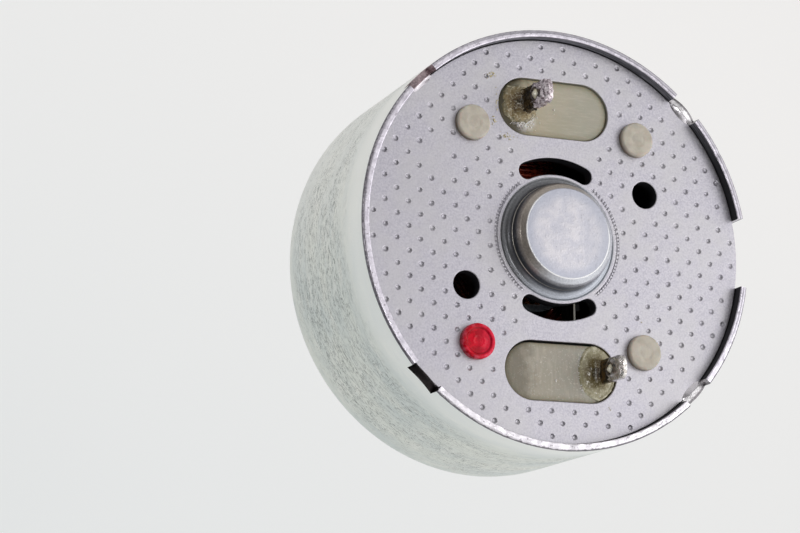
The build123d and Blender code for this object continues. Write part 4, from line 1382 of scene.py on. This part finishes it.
def build_turned_pieces():
    """Shaft, bearings, washers, spacer and varistor, each with its edges broken."""
    low, high = span("shaft")
    radius = high.x
    turned("motor_shaft", "shaft", "rotor", "shaft_steel", shaft_finish, [
        (0, low.z, 0), (radius, low.z, 0.15), (radius, high.z, 0.15), (0, high.z, 0)])
    rings = [
        ("front_bush", "front_bearing", "stator", "sintered_bronze", bronze_finish, 1.02, 0.08),
        ("rear_bush", "rear_bearing", "stator", "sintered_bronze", bronze_finish, 1.02, 0.08),
        ("front_washer", "washer_front", "rotor", "washer_film", film_finish, 1.01, 0.02),
        ("rear_washer", "washer_rear", "rotor", "washer_film", film_finish, 1.01, 0.02),
        ("front_spacer", "spacer_front", "rotor", "spacer_brass", brass_finish, 1.0, 0.06),
        ("varistor_ring", "varistor", "rotor", "varistor_ceramic", varistor_finish, 1.7, 0.06),
    ]
    for name, node, body, slot, finish, bore, edge in rings:
        low, high = span(node)
        turned(name, node, body, slot, finish, [
            (bore, low.z, edge), (high.x, low.z, edge), (high.x, high.z, edge), (bore, high.z, edge)])


def in_weight(x, y):
    """Whether a point lies in the weight's sector or its hub."""
    in_sector = math.degrees(abs(math.atan2(y, x))) < WEIGHT_HALF_ANGLE - 0.01
    return in_sector or math.hypot(x, y) < WEIGHT_HUB_R


def weight_outline(reach, grow):
    """Outline of the weight's rounded sector and its hub, moved outward by grow."""
    corner = 0.5
    turn = math.radians(WEIGHT_HALF_ANGLE) - math.asin(corner / (reach - corner))
    centre = ((reach - corner) * math.cos(turn), (reach - corner) * math.sin(turn))
    rim = arc(reach + grow, -math.degrees(turn), math.degrees(turn), 90)
    upper = arc(corner + grow, math.degrees(turn), WEIGHT_HALF_ANGLE + 90, 12, centre)
    lower = [(x, -y) for x, y in reversed(upper)]
    setback = math.degrees(math.asin(0.001)) if grow == 0 else 0
    meet = WEIGHT_HALF_ANGLE - setback + math.degrees(math.asin(-grow / (WEIGHT_HUB_R + grow)))
    hub = arc(WEIGHT_HUB_R + grow, meet, 360 - meet, 60)
    return rim + upper[1:] + hub + lower[:-1]


def build_weight():
    """The eccentric weight: a thick sector with a hub, all its edges rounded."""
    low, high = span("eccentric_weight")
    bore, edge = 1.0, 0.16
    bm = bmesh.new()
    steps = [(edge * (1 - s), edge * (1 - c)) for c, s in quarter_turn(4)]
    rings, bores = [], []
    for side, level in ((1, low.z), (-1, high.z)):
        made = [ring(bm, weight_outline(high.x, -inset), level + side * drop) for inset, drop in steps]
        hole = [ring(bm, circle(bore + inset, 48), level + side * drop) for inset, drop in steps]
        rings += made if side > 0 else made[::-1]
        bores += hole if side > 0 else hole[::-1]
    join_rings(bm, rings)
    join_rings(bm, bores)
    for outer, inner in ((rings[0], bores[0]), (rings[-1], bores[-1])):
        loops = [([tuple(v.co.xy) for v in one], True) for one in (outer, inner)]
        sheet = flat_sheet(loops, lambda x, y: math.hypot(x, y) > bore and in_weight(x, y))
        add_sheet(bm, sheet, outer[0].co.z)
    new_piece("tungsten_weight", bm, [tungsten_finish], "rotor", "sintered_tungsten",
              ["eccentric_weight"], sharp=35)


# ==== CAD nodes that stay ======================================================================

KEPT = {
    "thrust_pad": film_finish,
    "magnet_right": ferrite_finish,
    "magnet_left": ferrite_finish,
    "magnet_spring_top": spring_finish,
    "magnet_spring_bottom": spring_finish,
    "brush_right": leaf_finish,
    "brush_left": leaf_finish,
    "brush_damper_right": rubber_finish,
    "brush_damper_left": rubber_finish,
    "laminations": core_finish,
    "insulator_front": insulator_finish,
    "insulator_rear": insulator_finish,
    "commutator_hub": hub_finish,
    "commutator_segment_1": bar_finish,
    "commutator_segment_2": bar_finish,
    "commutator_segment_3": bar_finish,
    "commutator_collar": hub_finish,
    "riser_solder": fresh_solder_finish,
}


def dress_kept_nodes():
    """Give each CAD node that stays its own material."""
    for name, finish in KEPT.items():
        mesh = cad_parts[name].data
        mesh.materials.clear()
        mesh.materials.append(finish)


# ==== studio ===================================================================================

FLOOR_SIDE = 12.0
FLOOR_LEVEL = -0.25
FLOOR_GLOW = 0.93
BACKDROP = 0.83


def build_floor():
    """A pale floor well below the motor, lit from within and a little brighter towards +X and +Y."""
    f = Finish("studio_floor", emission_strength=FLOOR_GLOW)
    across = f.between(f.x, -14.0, 212.0, 0.0, 0.55)
    along = f.between(f.y, -16.0, 142.0, 0.0, 0.65)
    f.colour = f.mix(f.math("ADD", across, along, clamp=True), (182, 184, 184), (193, 192, 191))
    f.feed(f.shader.inputs["Emission Color"], f.colour)
    half = FLOOR_SIDE / 2
    bm = bmesh.new()
    corners = [(-half, -half), (half, -half), (half, half), (-half, half)]
    bm.faces.new(ring(bm, corners, FLOOR_LEVEL))
    mesh = bpy.data.meshes.new("studio_floor")
    bm.to_mesh(mesh)
    bm.free()
    mesh.materials.append(f.finish(0.9))
    ground = bpy.data.objects.new("studio_floor", mesh)
    bpy.context.scene.collection.objects.link(ground)


def build_sky():
    """A soft white sky: brighter towards +X, dim high towards -X, and even where the camera sees it."""
    world = bpy.data.worlds.new("studio_sky")
    bpy.context.scene.world = world
    world.use_nodes = True
    sky = Nodes(world.node_tree)
    view = sky.node("ShaderNodeTexCoord").outputs["Generated"]

    def facing(direction, low, high, to_low, to_high):
        """A share that changes smoothly with the angle from one direction."""
        along = sky.vector("DOT_PRODUCT", view, Vector(direction).normalized())
        return sky.between(along, low, high, to_low, to_high)

    right = facing((1.0, -0.3, 0.5), 0.3, 1.0, 0.0, 0.75)
    overhead = facing((0.3, 0.1, 1.0), 0.0, 1.0, 0.66, 0.56)
    dim = facing((-1.0, -0.1, 1.0), 0.45, 0.92, 1.0, 0.12)
    strength = sky.times(sky.math("ADD", right, overhead), dim)
    by_camera = sky.node("ShaderNodeLightPath").outputs["Is Camera Ray"]
    seen = sky.node("ShaderNodeMix", by_camera, None, strength, BACKDROP)
    background = world.node_tree.nodes["Background"]
    sky.feed(background.inputs["Strength"], seen.outputs[0])
    sky.feed(background.inputs["Color"], (1.0, 1.0, 1.0, 1.0))


def build_studio():
    """Floor, sky and three softboxes, whose places and sizes are in metres."""
    bpy.context.scene.view_settings.view_transform = "Standard"
    build_floor()
    build_sky()
    add_softbox("key_softbox", (-0.03, -0.03, 0.40), 0.07, 0.16)
    add_softbox("right_softbox", (0.18, -0.01, 0.17), 0.16, 0.09)
    add_softbox("left_softbox", (-0.17, 0.03, 0.06), 0.04, 0.02)


def add_softbox(name, place, size, energy):
    """A round area light aimed at the motor."""
    light = bpy.data.lights.new(name, "AREA")
    light.shape = "DISK"
    light.size = size
    light.energy = energy
    lamp = bpy.data.objects.new(name, light)
    lamp.location = place
    lamp.rotation_euler = (-lamp.location).to_track_quat("-Z", "Y").to_euler()
    bpy.context.scene.collection.objects.link(lamp)


def build_camera():
    """The camera, at the photograph's viewing angle."""
    distance = 126.93 * MM
    azimuth, elevation = math.radians(-152.385), math.radians(59.66)
    data = bpy.data.cameras.new("photo_camera")
    data.sensor_width = 36.0
    data.lens = 100.44
    data.shift_x = -0.0014
    data.shift_y = 0.0003
    data.clip_start = 0.01
    data.clip_end = 20.0
    camera = bpy.data.objects.new("photo_camera", data)
    camera.location = Vector((
        distance * math.cos(elevation) * math.cos(azimuth),
        distance * math.cos(elevation) * math.sin(azimuth),
        distance * math.sin(elevation) + Z_PLATE * MM,
    ))
    camera.rotation_euler = [math.radians(a) for a in (13.236, -23.102, -0.823)]
    bpy.context.scene.collection.objects.link(camera)
    bpy.context.scene.camera = camera


# ==== build ====================================================================================

build_camera()
build_studio()
build_can()
build_plate()
build_base()
build_mark()
build_tab("positive", bright_tab_finish, coat=0.05, rough=0.06, crater=0.05, seed=1.0)
build_tab("negative", dull_tab_finish, coat=0.06, rough=0.19, crater=0.24, seed=7.0)
build_bead("positive", size=0.98, seed=2.0)
build_bead("negative", size=1.12, seed=5.0)
build_flux("positive", 1.26, 1.26, mound=0.10, lip=0.05, ragged=0.06, finish=amber_finish, seed=3.0)
build_flux("negative", 1.1, 1.05, mound=0.16, lip=0.0, ragged=0.30, finish=burnt_finish, seed=11.0)
build_crumbs("flux_frost_negative", [
    (-1.8, 6.9, 0.30, 0.22, 230, 0.02, 0.06), (-2.35, 7.15, 0.2, 0.25, 60, 0.02, 0.05)],
    frost_finish, 5, PAD_TOP)
build_crumbs("flux_crumbs_pads", [
    (2.5, -6.5, 0.25, 0.06, 14, 0.03, 0.07), (2.4, -8.75, 0.25, 0.06, 12, 0.03, 0.07),
    (1.18, -7.4, 0.04, 0.30, 16, 0.02, 0.04), (1.45, -8.5, 0.16, 0.16, 22, 0.02, 0.045),
    (0.1, 7.65, 0.02, 0.02, 2, 0.05, 0.06), (0.1, 7.4, 0.02, 0.02, 1, 0.03, 0.04),
    (-0.3, -8.15, 0.02, 0.02, 2, 0.05, 0.07)], frost_finish, 8, PAD_TOP)
build_crumbs("flux_crumbs_plate", [
    (-3.85, 9.3, 0.16, 0.12, 18, 0.03, 0.06), (-3.8, 6.6, 0.1, 0.1, 14, 0.03, 0.06),
    (-2.9, 5.75, 0.25, 0.08, 26, 0.02, 0.05), (-3.62, 7.7, 0.04, 0.4, 18, 0.02, 0.04),
    (2.95, -9.65, 0.06, 0.05, 4, 0.03, 0.05), (5.2, -4.5, 0.03, 0.03, 2, 0.03, 0.05),
    (-0.65, 3.62, 0.05, 0.04, 3, 0.02, 0.03)], crumb_finish, 12, Z_PLATE)
for number in range(1, POLES + 1):
    build_winding(number)
build_turned_pieces()
build_weight()
dress_kept_nodes()
